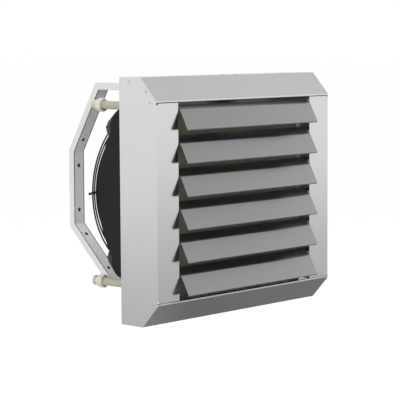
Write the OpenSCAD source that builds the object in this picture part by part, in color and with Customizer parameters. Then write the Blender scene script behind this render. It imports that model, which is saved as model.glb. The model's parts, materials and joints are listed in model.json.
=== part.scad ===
// Fan heater for ceiling or wall: a folded steel casing with adjustable louvres in front,
// a finned water coil behind them, an axial fan with its guard at the back, and a cranked
// mounting console in which the whole heater swivels on two upright pivot bolts.
// Millimetres, +Z up, the air leaves towards -Y. The origin is on the console's wall face,
// midway between the two bolt holes of its upright middle stretch.

/* [Casing] */
// Width of the casing
casing_w = 700; // [690:1:740]
// Height of the casing
casing_h = 644; // [640:1:664]
// Depth of the casing from its front face to its rear edge
casing_d = 134; // [130:1:142]
// Thickness of the casing's steel sheet
sheet_t = 1.2; // [0.8:0.1:1.5]
// Width of the front strip beside the air outlet
strip_w = 82; // [80:1:88]
// Depth of the sloping edge above and below the outlet
chamfer_y = 55; // [45:1:60]
// Height of the sloping edge above and below the outlet
chamfer_z = 60; // [56:1:62]
// Depth of the outlet's side walls, from the front face to the coil
wall_depth = 40; // [38:1:42]
// Side of the relief notch where the strip, the lip and the side panel meet
relief = 4; // [3:0.5:6]
// Height of the lip that closes each sloping edge
lip_h = 5; // [4:0.5:6]
// Width of the flanges along the casing's rear edge
rear_flange = 15; // [12:1:18]

/* [Louvres] */
// Slope of a louvre's front plate from the upright
louver_slope = 28; // [20:1:35]
// Length of a louvre's rear flange, up from its fold
louver_flange = 28; // [22:1:29]
// Slope of the rear flange from the upright
flange_slope = 45; // [35:1:46]
// Radius of the pins on which the louvres turn
louver_pin_r = 3; // [2.5:0.1:4]

/* [Water coil] */
// Depth of the fin block, front to back
coil_d = 60; // [54:1:62]
// Spacing of the modelled fins
fin_spacing = 5; // [4:0.5:8]
// Outer diameter of the tubes that pass through the fins
tube_d = 9.5; // [8:0.5:10]
// Spacing of the tubes in height
tube_spacing = 25; // [25:1:32]
// Outer diameter of the two upright headers
header_d = 26; // [25:0.5:27]
// Outer diameter of the water pipes
pipe_d = 22; // [18:0.5:22]
// Length of each water pipe with its connector, from the header's axis
pipe_len = 221; // [190:1:240]
// Outer diameter of the connectors' threaded end, a 3/4 inch pipe thread
thread_d = 26.4; // [25:0.1:27]
// Length of the connectors' threaded end
thread_len = 18; // [14:1:22]

/* [Fan] */
// Diameter of the impeller over its blade tips
fan_d = 450; // [430:1:452]
// Diameter of the guard's outermost ring, to the middle of its wire
guard_d = 482; // [478:1:486]
// Thickness of the guard's ring wires
guard_wire_d = 4.4; // [3:0.2:5]
// How far the guard's middle stands behind its outermost ring
guard_depth = 43; // [38:1:50]
// Diameter of the motor's outer rotor
rotor_d = 110; // [100:1:120]
// Wall of the moulded fan housing
housing_t = 3; // [2.5:0.1:4]
// Depth of the fan housing from the casing to its rim
housing_d = 203; // [200:1:215]

/* [Console] */
// Height from an arm of the console to the casing's top or bottom
arm_inset = 28; // [27:0.5:30]
// Width of the console's tube, across the heater
console_w = 42; // [36:1:46]
// Depth of the console's tube
console_h = 20; // [18:0.5:20]
// Wall of the console's tube
console_t = 2; // [1.5:0.1:3]
// Slope of the console's upper stretch from the upright
upper_slope = 30; // [28:1:32]
// Slope of the console's lower stretch from the upright
lower_slope = 45; // [43:1:46]
// Distance from the casing's front face to the wall
wall_gap = 677; // [665:1:700]
// Diameter of the console's fixing holes
fixing_d = 12; // [9:0.5:13]
// Distance between the two fixing holes of a stretch
fixing_spacing = 131; // [110:1:140]
// Diameter of the pivot bolts
bolt_d = 10; // [8:1:10]

/* [Hidden] */
$fn = 64;
over = 1;              // overrun of a cut past the face that it leaves
slip = 0.05;           // running gap round a pin, a bolt or a shaft
seat_gap = 0.03;       // gap round a piece that is pressed or brazed in
seam = 1;              // open seam between two casing sheets
panel_gap = 0.2;       // gap between a side panel and the sheets between the sides
bend_steps = 4;        // flats along each sheet bend
steel_grey = [0.84, 0.85, 0.86];

// Casing
bend_r = 1.5 * sheet_t;
inner_w = casing_w - 2 * (sheet_t + panel_gap);
back_w = casing_w - sheet_t - 2 * (bend_r + panel_gap);
opening_w = casing_w - 2 * strip_w;
opening_h = casing_h - 2 * chamfer_z;
end_flange = 26;       // width of the end flanges of the top and bottom panels
lip_return = 9;        // depth of the lip's fold behind the front face
rivet_r = 2;
rivet_head_r = 4;
rivet_head_h = 1.2;
rivet_grip = 2.4;      // length of a rivet's shank behind its head
rivet_inset = 11;      // distance of the two outer rivets from the panel's edge
rivet_back = 36;       // distance of the rearmost rivet from the rear edge
rivet_up = 43;         // distance of the middle rivet up the sloping edge
low_rivet_up = 12.6;   // the same for the lowest rivet
low_rivet_inset = 19.7;
middle_z = casing_h / 2;

// Louvres
louver_count = 6;
louver_margin = 9.2;   // part of the outlet's height that the louvres' pitch leaves out
louver_pitch = (opening_h - louver_margin) / louver_count;
louver_short = 29.8;   // a louvre's front plate is this much shorter than the pitch
louver_chord = louver_pitch - louver_short;
louver_t = 1;
louver_gap = 2.5;      // gap between a louvre's end and the outlet's side wall
louver_hem = 5;
top_fold_drop = 25;    // height of the uppermost louvre's fold below the sloping edge
fold_y = -3;           // the folds stand this far in front of the casing
pivot_back = 14;       // from a fold back to its pivot
pivot_rise = 6;        // from a fold up to its pivot
ear_r = 8;
ear_reach = 6;         // how far an ear runs down behind the front plate
ear_start_angle = -25; // the ear's round end starts and stops at these angles
ear_end_angle = -110;
washer_r = 7;
pin_head_r = 4.8;
pin_head_h = 1.6;

// Water coil
coil_y = wall_depth + seam;
coil_gap = 6;          // from the outlet's side wall to the fins
coil_w = opening_w - 2 * coil_gap;
coil_margin = 2;       // the coil's top and bottom plates stand this far behind the outlet's edge
coil_h = opening_h - 2 * coil_margin;
coil_bottom = middle_z - coil_h / 2;
fin_share = 0.5;       // share of the fin spacing that a modelled fin fills
fin_groove = 10;       // depth of the grooves between the modelled fins
row_gap = 24;          // distance between the two rows of tubes
front_row_y = coil_y + (coil_d - row_gap) / 2;
rear_row_y = front_row_y + row_gap;
tube_count = floor(coil_h / tube_spacing);
plate_flange = 14;
bend_clear = 8;        // from the right end plate to the start of the tube bends
header_t = 1.2;
plate_to_header = 1.3; // from the left end plate to the rear header
header_step = 26.5;    // the front header stands this far outside the rear one
header_room = 2;       // a header's open ends stand this far inside the fins' height
upper_pipe_inset = 77.5; // from the casing's top down to the upper pipe
lower_pipe_inset = 98;
pipe_t = 1.5;
pipe_bite = 4;         // how far a pipe's end stands inside the header's wall
hex_flat = 32;
hex_len = 20;
pipe_socket = 24;      // how deep the pipe stands in its connector
water_bore_d = 17;

// Back panel
back_y = casing_d - 1.5 * sheet_t;
tray_depth = 60;       // depth of the shelves that hold the coil
tray_z = coil_h / 2 + 1.5 * sheet_t;
air_margin = 12;       // how far the fan housing's walls stand outside the back panel's air opening
air_corner_r = 60;
pipe_hole_gap = 4;
screw_r = 2;
screw_head_r = 4;
screw_head_h = 2;
screw_len = 6;
back_screw_count = 4;

// Swivel
pivot_y = 105;         // the upright swivel axis, behind the front face
arm_gap = casing_h - 2 * (arm_inset + console_h);
arm_z = (arm_gap + console_h) / 2;
arm_end = 20;          // from the swivel axis to the front end of an arm
cap_t = 2;
cap_plug = 8;
bush_t = 1;            // thickness of a bush's flange
bush_wall = 1.5;
bush_flange_r = 13;
bracket_t = 3;
bracket_w = 80;
bracket_web_y = 75;    // rear face of the pivot bracket's web
bracket_end_y = 125;
bracket_foot = 18;
bolt_head_flat = 17;
bolt_head_h = 6.4;
nut_h = 8;
bolt_tip = 4;

// Console: its three inner stretches are equally long
stretch = arm_gap / (cos(upper_slope) + 1 + cos(lower_slope));
fixing_end = (stretch - fixing_spacing) / 2;
bolt_centre_z = middle_z + arm_gap / 2 - stretch * (cos(upper_slope) + 0.5);
inner_y = wall_gap - console_h;

// Fan
duct_r = fan_d / 2 + 4;
rim_y = casing_d + housing_d;
guard_lift = 12;       // the guard's outermost ring stands this far behind the rim
guard_y = rim_y + guard_lift;
guard_r = guard_d / 2;
base_room = 18;        // room between the duct and the housing's side walls, at their foot
base_half = duct_r + housing_t + base_room;
rim_room = 3.5;        // the same at the rim
rim_half = duct_r + housing_t + rim_room;
flange_w = 10;
flange_half = base_half + flange_w;
flange_corner_r = 30;
flange_t = 3;
body_corner_r = 60;    // rounding of the housing's four edges along its depth
corner_slope = 45;     // slope of the chamfer that turns the square body into the round rim
lobe_r = 60;           // foot, waist and end of the four lobes that carry the guard
lobe_waist_r = 28;
lobe_end_r = 12;
lobe_foot = 100;       // depths before the rim at which a lobe starts, narrows and ends its long slope
lobe_shoulder = 54;
lobe_waist = 7;
duct_len = 72;
lip_r = 5;             // radius of the duct's rounded inlet
boss_r = 9;
boss_len = 60;
boss_at_r = guard_r + 9;
housing_screw_inset = 6;
hub_ring_r = 75;       // the guard's innermost ring
ring_count = 13;
wire_r = guard_wire_d / 2;
rib_r = 2.5;
stay_r = 3.5;
stay_over = 12;        // how far the four thick stays stand out past the outermost ring
rib_foot_r = 60;
foot_rise = 1;         // a rib's foot stands this far behind the rings
dome_run = guard_r - hub_ring_r;
dome_r = (dome_run ^ 2 + guard_depth ^ 2) / (2 * guard_depth);
guard_flat_y = guard_y + guard_depth;
clip_w = 12;
clip_out = 9;          // how far a clip reaches past its screw
hook_in = 6.5;         // how far a clip's hook reaches inwards over the outermost ring
hook_t = 2;
hook_rise = 5;
clip_screw_r = 2.5;
clip_head_r = 4;
clip_head_h = 2;

// Motor
plate_t = 3;
plate_r = hub_ring_r - wire_r - 0.3 * plate_t;
plate_y = guard_flat_y + wire_r + foot_rise - plate_t;
motor_pitch_r = 50;
motor_screw_r = 3;
motor_head_r = 5;
motor_head_h = 3.5;
motor_screw_len = 14;
flange_r = 60;
stator_flange_t = 20;
rotor_back_gap = 2;
rotor_len = 84;
rotor_t = 3;
rotor_r = rotor_d / 2;
air_gap = 0.5;
core_len = 50;
neck_r = 40;
shaft_r = 7.5;
bearing_r = 17.5;
bearing_w = 11;
race_t = 3;
shield_depth = 0.6;
rotor_y = plate_y - stator_flange_t - rotor_back_gap - rotor_len;
rotor_boss_r = 14;
rotor_boss_h = 12;

// Impeller
blade_count = 7;
blade_t = 3.5;
hub_t = 5;
hub_len = 58;
hub_front = 1;         // from the rotor's front face to the hub ring
root_angle = 52;       // blade angles from the fan's plane, at the root and at the tip
tip_angle = 27;
root_chord = 66;
tip_chord = 140;
sweep_angle = 26;      // the tip leads the root by this angle
blade_camber_share = 0.07;
blade_stations = 6;
chord_steps = 6;
tip_gap = 4;

// Terminal box
box_w = 60;
box_h = 60;
box_d = 26;
box_t = 2.5;
cover_t = 3;
cover_screw_in = 7;
gland_r = 8;
gland_len = 16;
gland_nut_len = 8;
gland_bore_r = 4;
gland_wall = 2;

function unit(v) = v / norm(v);
function perp(v) = [-v.y, v.x];
function last(v) = v[len(v) - 1];
function reversed(v) = [for (i = [len(v) - 1:-1:0]) v[i]];
function turned(v, a) = [v.x * cos(a) - v.y * sin(a), v.x * sin(a) + v.y * cos(a)];
function mix(a, b, share) = a + (b - a) * share;

// A path moved sideways by d, with mitred corners
function beside(p, d) = [for (i = [0:len(p) - 1])
    let (j = max(i, 1), k = min(i + 1, len(p) - 1))
    let (m = perp(unit(p[j] - p[j - 1])), n = perp(unit(p[k] - p[k - 1])))
    p[i] + (m + n) * d / (1 + m * n)];

// A path whose inner corners are turned into arcs of radius r
function rounded(p, r) = concat([p[0]], [for (i = [1:len(p) - 2])
    let (a = unit(p[i] - p[i - 1]), b = unit(p[i + 1] - p[i]))
    let (side = sign(a.x * b.y - a.y * b.x), bend = acos(a * b))
    let (c = p[i] - a * r * tan(bend / 2) + perp(a) * side * r)
    for (s = [0:bend_steps]) c + turned(-perp(a) * side * r, side * bend * s / bend_steps)],
    [last(p)]);

// The outline of a sheet of thickness t that follows a path
function sheet_outline(p, t) = concat(beside(p, t / 2), reversed(beside(p, -t / 2)));

module along_x(x, length) translate([x, 0, 0]) rotate([90, 0, 90]) linear_extrude(length) children();
module along_y(y, length) translate([0, y + length, 0]) rotate([90, 0, 0]) linear_extrude(length) children();
module rod_x(p, r, length) translate(p) rotate([0, 90, 0]) cylinder(r = r, h = length);
module rod_y(p, r, length) translate(p) rotate([-90, 0, 0]) cylinder(r = r, h = length);
module rod_z(p, r, length) translate(p) cylinder(r = r, h = length);
module both_sides() { children(); mirror([1, 0, 0]) children(); }
module top_and_bottom() { children(); flipped() children(); }
module flipped() translate([0, 0, casing_h]) mirror([0, 0, 1]) children();
module heater() translate([0, -wall_gap, -bolt_centre_z]) children();
module on_fan_axis() translate([0, 0, middle_z]) rotate([-90, 0, 0]) children();
module rounded_square(half, r) {
    square([2 * half, 2 * (half - r)], center = true);
    square([2 * (half - r), 2 * half], center = true);
    for (x = [-1, 1], y = [-1, 1]) translate([x, y] * (half - r)) circle(r);
}

// Mounting console: five lengths of rectangular tube, welded at their mitred ends

arm_front = pivot_y - arm_end + cap_t;
inner_path = [
    [arm_front, middle_z + arm_gap / 2],
    [inner_y - stretch * sin(upper_slope), middle_z + arm_gap / 2],
    [inner_y, bolt_centre_z + stretch / 2],
    [inner_y, bolt_centre_z - stretch / 2],
    [inner_y - stretch * sin(lower_slope), middle_z - arm_gap / 2],
    [arm_front, middle_z - arm_gap / 2]];

// A bar between corners i and i + 1 of the inner path, on its outer side, with mitred ends
module mitred_bar(i, margin, width, longer_by) {
    near = beside(inner_path, margin);
    far = beside(inner_path, console_h - margin);
    way = unit(inner_path[i + 1] - inner_path[i]) * longer_by;
    along_x(-width / 2, width) polygon([near[i] - way, near[i + 1] + way, far[i + 1] + way, far[i] - way]);
}

// Cutters for the two fixing holes in the stretch between two corners of the inner path
module fixing_holes(from, to) {
    way = unit(to - from);
    for (end = [from + way * fixing_end, to - way * fixing_end])
        translate([0, end.x, end.y]) rotate([atan2(way.y, way.x), 0, 0])
            translate([0, 0, -over]) cylinder(d = fixing_d, h = console_h + 2 * over);
}

module console_tube(i) color([0.86, 0.86, 0.87]) heater() difference() {
    mitred_bar(i, 0, console_w, 0);
    mitred_bar(i, console_t, console_w - 2 * console_t, over);
    children();
}

module pivot_bore() rod_z([0, pivot_y, 0], bolt_d / 2 + bush_wall + slip + seat_gap, casing_h);
module console_upper_arm() console_tube(0) pivot_bore();
module console_upper_stretch() console_tube(1) fixing_holes(inner_path[1], inner_path[2]);
module console_middle_stretch() console_tube(2) fixing_holes(inner_path[2], inner_path[3]);
module console_lower_stretch() console_tube(3) fixing_holes(inner_path[3], inner_path[4]);
module console_lower_arm() console_tube(4) pivot_bore();

module arm_end_cap() {
    plug = console_w - 2 * (console_t + panel_gap);
    plug_h = console_h - 2 * (console_t + panel_gap);
    translate([-console_w / 2, pivot_y - arm_end, middle_z + arm_z - console_h / 2])
        cube([console_w, cap_t, console_h]);
    translate([-plug / 2, pivot_y - arm_end + cap_t, middle_z + arm_z - plug_h / 2])
        cube([plug, cap_plug, plug_h]);
}

module console_end_caps() color([0.12, 0.12, 0.13]) heater() top_and_bottom() arm_end_cap();

// One flanged bush in each wall of an arm
module arm_bushes() {
    for (side = [-1, 1]) translate([0, pivot_y, middle_z + arm_z]) rotate([90 - 90 * side, 0, 0])
        translate([0, 0, console_h / 2]) difference() {
            union() {
                cylinder(r = bush_flange_r, h = bush_t);
                translate([0, 0, -console_t])
                    cylinder(r = bolt_d / 2 + slip + bush_wall, h = console_t + bush_t);
            }
            translate([0, 0, -console_t - over])
                cylinder(r = bolt_d / 2 + slip, h = console_t + bush_t + 2 * over);
        }
}

module console_bushes() color([0.92, 0.92, 0.88]) heater() top_and_bottom() arm_bushes();

// Swivel hardware in the casing

clevis_low = middle_z + arm_z - console_h / 2 - bush_t;
clevis_high = middle_z + arm_z + console_h / 2 + bush_t;
shelf_top = middle_z + tray_z + sheet_t / 2;
panel_under = casing_h - sheet_t;

module pivot_bracket() difference() {
    along_x(-bracket_w / 2, bracket_w) union() {
        translate([bracket_web_y - bracket_t, shelf_top]) square([bracket_t, panel_under - shelf_top]);
        translate([bracket_web_y - bracket_foot, shelf_top]) square([bracket_foot, bracket_t]);
        translate([bracket_web_y - bracket_foot, panel_under - bracket_t]) square([bracket_foot, bracket_t]);
        translate([bracket_web_y - bracket_t, clevis_low - bracket_t])
            square([bracket_end_y - bracket_web_y + bracket_t, bracket_t]);
        translate([bracket_web_y - bracket_t, clevis_high])
            square([bracket_end_y - bracket_web_y + bracket_t, bracket_t]);
    }
    rod_z([0, pivot_y, clevis_low - bracket_t - over], bolt_d / 2 + slip,
        clevis_high - clevis_low + 2 * (bracket_t + over));
    bracket_rivet_holes();
}

module upper_pivot_bracket() color([0.62, 0.63, 0.65]) heater() pivot_bracket();
module lower_pivot_bracket() color([0.62, 0.63, 0.65]) heater() flipped() pivot_bracket();

module pivot_bolt() {
    translate([0, pivot_y, clevis_low - bracket_t - bolt_head_h])
        cylinder(d = bolt_head_flat / cos(30), h = bolt_head_h, $fn = 6);
    rod_z([0, pivot_y, clevis_low - bracket_t], bolt_d / 2,
        clevis_high - clevis_low + 2 * bracket_t + nut_h + bolt_tip);
}

module pivot_bolts() color([0.75, 0.75, 0.74]) heater() top_and_bottom() pivot_bolt();

module pivot_nuts() color([0.75, 0.75, 0.74]) heater() top_and_bottom()
    translate([0, pivot_y, clevis_high + bracket_t]) difference() {
        cylinder(d = bolt_head_flat / cos(30), h = nut_h, $fn = 6);
        translate([0, 0, -over]) cylinder(r = bolt_d / 2 + seat_gap, h = nut_h + 2 * over);
    }

bracket_rivet_y = bracket_web_y - bracket_t - (bracket_foot - bracket_t) / 2;
module at_bracket_rivets() for (x = [-1, 1]) translate([x * bracket_w / 3, bracket_rivet_y, 0]) children();
module bracket_rivet_holes() at_bracket_rivets() {
    translate([0, 0, panel_under - bracket_t - over])
        cylinder(r = rivet_r + seat_gap, h = bracket_t + sheet_t + 2 * over);
    translate([0, 0, shelf_top - sheet_t - over])
        cylinder(r = rivet_r + seat_gap, h = bracket_t + sheet_t + 2 * over);
}

module bracket_rivets() color([0.7, 0.7, 0.7]) heater() top_and_bottom() at_bracket_rivets() {
    translate([0, 0, casing_h]) cylinder(r = rivet_head_r, h = rivet_head_h);
    translate([0, 0, casing_h - sheet_t - bracket_t]) cylinder(r = rivet_r, h = sheet_t + bracket_t);
    translate([0, 0, shelf_top + bracket_t]) cylinder(r = rivet_head_r, h = rivet_head_h);
    translate([0, 0, shelf_top - sheet_t]) cylinder(r = rivet_r, h = sheet_t + bracket_t);
}

// Casing sheets

side_outline = [[chamfer_y, 0], [casing_d, 0], [casing_d, casing_h], [chamfer_y, casing_h],
    [0, casing_h - chamfer_z], [0, chamfer_z]];

// Places of the three upper rivets of a side panel, as depth and height
slope_way = unit([chamfer_y, chamfer_z]);
slope_foot = [0, casing_h - chamfer_z];
upper_rivets = [
    [casing_d - rivet_back, casing_h - rivet_inset],
    slope_foot + slope_way * rivet_up - perp(slope_way) * rivet_inset,
    slope_foot + slope_way * low_rivet_up - perp(slope_way) * low_rivet_inset];

module at_panel_rivets() top_and_bottom()
    for (p = upper_rivets) translate([casing_w / 2, p.x, p.y]) rotate([0, 90, 0]) children();

side_path = rounded([
    [casing_w / 2 - rear_flange, casing_d - sheet_t / 2],
    [casing_w / 2 - sheet_t / 2, casing_d - sheet_t / 2],
    [casing_w / 2 - sheet_t / 2, sheet_t / 2],
    [opening_w / 2 + sheet_t / 2, sheet_t / 2],
    [opening_w / 2 + sheet_t / 2, wall_depth]], bend_r);

module side_panel() difference() {
    intersection() {
        linear_extrude(casing_h) polygon(sheet_outline(side_path, sheet_t));
        along_x(0, casing_w) polygon(side_outline);
    }
    // the strip and the outlet's wall stop short of the lips, and the rear flange of the corners
    top_and_bottom() {
        translate([0, -over, casing_h - chamfer_z - lip_h - seam])
            cube([casing_w / 2 - sheet_t, wall_depth + 2 * over, chamfer_z + lip_h + seam + over]);
        translate([casing_w / 2 - sheet_t - relief, -over, casing_h - chamfer_z - lip_h - seam - relief])
            cube([relief + sheet_t / 2, bend_r + over, relief + over]);
        translate([0, casing_d - 2 * bend_r - sheet_t, casing_h - rear_flange - seam])
            cube([casing_w / 2 - sheet_t, 2 * bend_r + sheet_t + over, rear_flange + seam + over]);
    }
    at_panel_rivets() translate([0, 0, -sheet_t - over])
        cylinder(r = rivet_r + seat_gap, h = sheet_t + 2 * over);
    at_louver_pivots() rod_x([opening_w / 2 - over, 0, 0], louver_pin_r + seat_gap, sheet_t + 2 * over);
    at_back_screws() rod_y([0, casing_d - sheet_t - over, 0], screw_r + seat_gap, sheet_t + 2 * over);
}

module right_side_panel() color(steel_grey) heater() side_panel();
module left_side_panel() color(steel_grey) heater() mirror([1, 0, 0]) side_panel();

// Section of the top panel: rear flange, top, sloping edge, lip and its fold
half_t = sheet_t / 2;
slope_inside = slope_foot - perp(slope_way) * half_t;
slope_meets_top = slope_inside + slope_way * (casing_h - half_t - slope_inside.y) / slope_way.y;
slope_meets_lip = slope_inside + slope_way * (half_t - slope_inside.x) / slope_way.x;
lip_z = casing_h - chamfer_z - lip_h + half_t;
top_path = rounded([
    [casing_d - half_t, casing_h - rear_flange],
    [casing_d - half_t, casing_h - half_t],
    slope_meets_top,
    slope_meets_lip,
    [half_t, lip_z],
    [lip_return, lip_z]], sheet_t);
end_path = [
    [casing_d - sheet_t - seam, casing_h - sheet_t],
    slope_meets_top - [0, half_t],
    slope_meets_lip + [half_t, 0]];

module top_sheet() difference() {
    union() {
        along_x(-inner_w / 2, inner_w) polygon(sheet_outline(top_path, sheet_t));
        both_sides() along_x(inner_w / 2 - sheet_t, sheet_t)
            polygon(concat(end_path, reversed(beside(end_path, end_flange))));
    }
    both_sides() at_panel_rivets() translate([0, 0, -3 * sheet_t - over])
        cylinder(r = rivet_r + seat_gap, h = 3 * sheet_t);
    bracket_rivet_holes();
}

module top_panel() color(steel_grey) heater() top_sheet();
module bottom_panel() color(steel_grey) heater() flipped() top_sheet();

// A head of radius r and height h, domed like a lens
module domed_head(r, h) {
    ball_r = (r ^ 2 + h ^ 2) / (2 * h);
    rotate_extrude() intersection() {
        translate([0, h - ball_r]) circle(ball_r);
        square([r, h]);
    }
}

// Pop rivet with a domed head, standing on its panel
module rivet() {
    domed_head(rivet_head_r, rivet_head_h);
    translate([0, 0, -rivet_grip - panel_gap]) cylinder(r = rivet_r, h = rivet_grip + panel_gap);
}
module panel_rivets() color([0.78, 0.78, 0.78]) heater() both_sides() at_panel_rivets() rivet();

// Back panel: a plate with shelves above and below that hold the coil

tray_path = [
    [back_y - tray_depth, middle_z + tray_z],
    [back_y, middle_z + tray_z],
    [back_y, middle_z - tray_z],
    [back_y - tray_depth, middle_z - tray_z]];

module at_pipes() {
    translate([upper_pipe_x, 0, casing_h - upper_pipe_inset]) children();
    translate([lower_pipe_x, 0, lower_pipe_inset]) children();
}

back_screw_z = (tray_z - screw_head_r - 2 * seam) * 2 / (back_screw_count - 1);
module at_back_screws() for (i = [0:back_screw_count - 1])
    translate([casing_w / 2 - rear_flange / 2, 0, middle_z + (i - (back_screw_count - 1) / 2) * back_screw_z])
        children();

housing_screw_at = flange_half - housing_screw_inset;
module at_housing_screws() for (x = [-1, 1], z = [-1, 0, 1])
    translate([x * housing_screw_at, 0, middle_z + z * (housing_screw_at - 2 * flange_corner_r)]) children();

module back_panel() color([0.7, 0.71, 0.72]) heater() difference() {
    along_x(-back_w / 2, back_w) polygon(sheet_outline(rounded(tray_path, bend_r), sheet_t));
    along_y(back_y - sheet_t, 2 * sheet_t)
        translate([0, middle_z]) rounded_square(base_half - air_margin, air_corner_r);
    at_pipes() rod_y([0, back_y - sheet_t, 0], pipe_d / 2 + pipe_hole_gap, 2 * sheet_t);
    both_sides() at_back_screws() rod_y([0, back_y - sheet_t, 0], screw_r + seat_gap, 2 * sheet_t);
    at_housing_screws() rod_y([0, back_y - sheet_t, 0], screw_r + seat_gap, 2 * sheet_t);
    top_and_bottom() bracket_rivet_holes();
}

// Round-headed screw along +Y, with its head's underside at the origin
module screw_y(r, length, head_r, head_h) {
    rod_y([0, -length, 0], r, length);
    rotate([-90, 0, 0]) domed_head(head_r, head_h);
}

module back_panel_screws() color([0.75, 0.75, 0.75]) heater() both_sides() at_back_screws()
    translate([0, casing_d, 0]) screw_y(screw_r, screw_len, screw_head_r, screw_head_h);

// Louvres

first_pivot_z = casing_h - chamfer_z - top_fold_drop + pivot_rise;
louver_pivot_y = fold_y + pivot_back;
module at_louver_pivots() for (i = [0:louver_count - 1])
    translate([0, louver_pivot_y, first_pivot_z - i * louver_pitch]) children();

// The section is drawn round the pivot
fold = [-pivot_back, -pivot_rise];
tip = fold - louver_chord * [sin(louver_slope), cos(louver_slope)];
hem = tip + louver_hem * turned([1, 0], -louver_slope);
flange_end = fold + louver_flange * [sin(flange_slope), cos(flange_slope)];
louver_path = rounded([hem, tip, fold, flange_end], louver_t);
ear_outline = concat(
    [fold, flange_end],
    [for (s = [0:2 * bend_steps])
        ear_r * turned([1, 0], mix(ear_start_angle, ear_end_angle, s / (2 * bend_steps)))],
    [fold - ear_reach * [sin(louver_slope), cos(louver_slope)]]);
louver_half = opening_w / 2 - louver_gap;

module louver(number) color([0.6, 0.6, 0.61]) heater()
    translate([0, louver_pivot_y, first_pivot_z - (number - 1) * louver_pitch]) difference() {
        union() {
            along_x(-louver_half, 2 * louver_half) polygon(sheet_outline(louver_path, louver_t));
            both_sides() along_x(louver_half - louver_t, louver_t) polygon(ear_outline);
        }
        rod_x([-casing_w / 2, 0, 0], louver_pin_r + slip, casing_w);
    }

module louver_1() louver(1);
module louver_2() louver(2);
module louver_3() louver(3);
module louver_4() louver(4);
module louver_5() louver(5);
module louver_6() louver(6);

// A pin is riveted into the outlet's wall and carries the louvre's ear under its head
module louver_pins() color([0.7, 0.7, 0.7]) heater() both_sides() at_louver_pivots() {
    rod_x([louver_half - louver_t - slip - pin_head_h, 0, 0], pin_head_r, pin_head_h);
    rod_x([louver_half - louver_t - slip, 0, 0], louver_pin_r, louver_t + slip + louver_gap + sheet_t);
    rod_x([opening_w / 2 + sheet_t, 0, 0], pin_head_r, pin_head_h);
}

module louver_washers() color([0.55, 0.55, 0.56]) heater() both_sides() at_louver_pivots()
    difference() {
        rod_x([louver_half + slip, 0, 0], washer_r, louver_gap - slip);
        rod_x([louver_half - over, 0, 0], louver_pin_r + seat_gap, louver_gap + 2 * over);
    }

// Water coil

lowest_tube_z = middle_z - (tube_count - 1) * tube_spacing / 2;
module at_tubes() for (i = [0:tube_count - 1]) translate([0, 0, lowest_tube_z + i * tube_spacing]) children();

module tube_bores(x, length) at_tubes() for (y = [front_row_y, rear_row_y])
    rod_x([x, y, 0], tube_d / 2 + seat_gap, length);

fin_count = floor(coil_w / fin_spacing);
fin_t = fin_spacing * fin_share;
function fin_edge(y, groove) = [for (i = [0:fin_count - 1])
    let (x = (i - (fin_count - 1) / 2) * fin_spacing)
    for (p = [[x - fin_t / 2, groove], [x - fin_t / 2, 0], [x + fin_t / 2, 0], [x + fin_t / 2, groove]])
        [p.x, y + p.y]];
fin_block_w = (fin_count - 1) * fin_spacing + fin_t;

module coil_fins() color([0.3, 0.3, 0.25]) heater() difference() {
    translate([0, 0, coil_bottom]) linear_extrude(coil_h) polygon(concat(
        fin_edge(coil_y, fin_groove), reversed(fin_edge(coil_y + coil_d, -fin_groove))));
    tube_bores(-casing_w / 2, casing_w);
}

// End plate with outward flanges, against the end of the fins
module coil_plate() difference() {
    translate([0, 0, coil_bottom]) linear_extrude(coil_h) polygon(sheet_outline(rounded([
        [fin_block_w / 2 + half_t + plate_flange, coil_y + half_t],
        [fin_block_w / 2 + half_t, coil_y + half_t],
        [fin_block_w / 2 + half_t, coil_y + coil_d - half_t],
        [fin_block_w / 2 + half_t + plate_flange, coil_y + coil_d - half_t]], sheet_t), sheet_t));
    tube_bores(0, casing_w);
}

module coil_right_plate() color([0.66, 0.67, 0.68]) heater() coil_plate();

// The left plate has no flanges, because the headers stand close to it
module coil_left_plate() color([0.66, 0.67, 0.68]) heater() difference() {
    translate([-fin_block_w / 2 - sheet_t, coil_y, coil_bottom]) cube([sheet_t, coil_d, coil_h]);
    tube_bores(-casing_w / 2, casing_w);
}

// Channel above the fins, between them and the back panel's shelf
module coil_channel() difference() {
    along_x(-opening_w / 2, opening_w) polygon(sheet_outline(rounded([
        [coil_y + half_t, middle_z + tray_z - sheet_t + lip_return],
        [coil_y + half_t, middle_z + tray_z - sheet_t],
        [coil_y + coil_d - half_t, middle_z + tray_z - sheet_t]], sheet_t), sheet_t));
    bracket_rivet_holes();
}

module coil_top_channel() color([0.66, 0.67, 0.68]) heater() coil_channel();
module coil_bottom_channel() color([0.66, 0.67, 0.68]) heater() flipped() coil_channel();

rear_header_x = -fin_block_w / 2 - sheet_t - plate_to_header - header_d / 2;
front_header_x = rear_header_x - header_step;
upper_pipe_x = rear_header_x;
lower_pipe_x = front_header_x;
bend_x = fin_block_w / 2 + sheet_t + bend_clear;
tube_stop = header_d / 2 - header_t - 2 * seam;

// A hairpin tube runs from the front header to the bend at the right, and back to the rear header
module heating_tubes() color([0.72, 0.45, 0.3]) heater() at_tubes() {
    rod_x([front_header_x + tube_stop, front_row_y, 0], tube_d / 2, bend_x - front_header_x - tube_stop);
    rod_x([rear_header_x + tube_stop, rear_row_y, 0], tube_d / 2, bend_x - rear_header_x - tube_stop);
    translate([bend_x, (front_row_y + rear_row_y) / 2, 0]) rotate([0, 0, -90])
        rotate_extrude(angle = 180) translate([row_gap / 2, 0]) circle(d = tube_d);
}

header_bottom = coil_bottom + header_room;
header_len = coil_h - 2 * header_room;

module header(x, y, pipe_z) difference() {
    rod_z([x, y, header_bottom], header_d / 2, header_len);
    rod_z([x, y, header_bottom - over], header_d / 2 - header_t, header_len + 2 * over);
    at_tubes() rod_x([x, y, 0], tube_d / 2 + seat_gap, header_d);
    rod_y([x, y, pipe_z], pipe_d / 2 + seat_gap, header_d);
}

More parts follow.
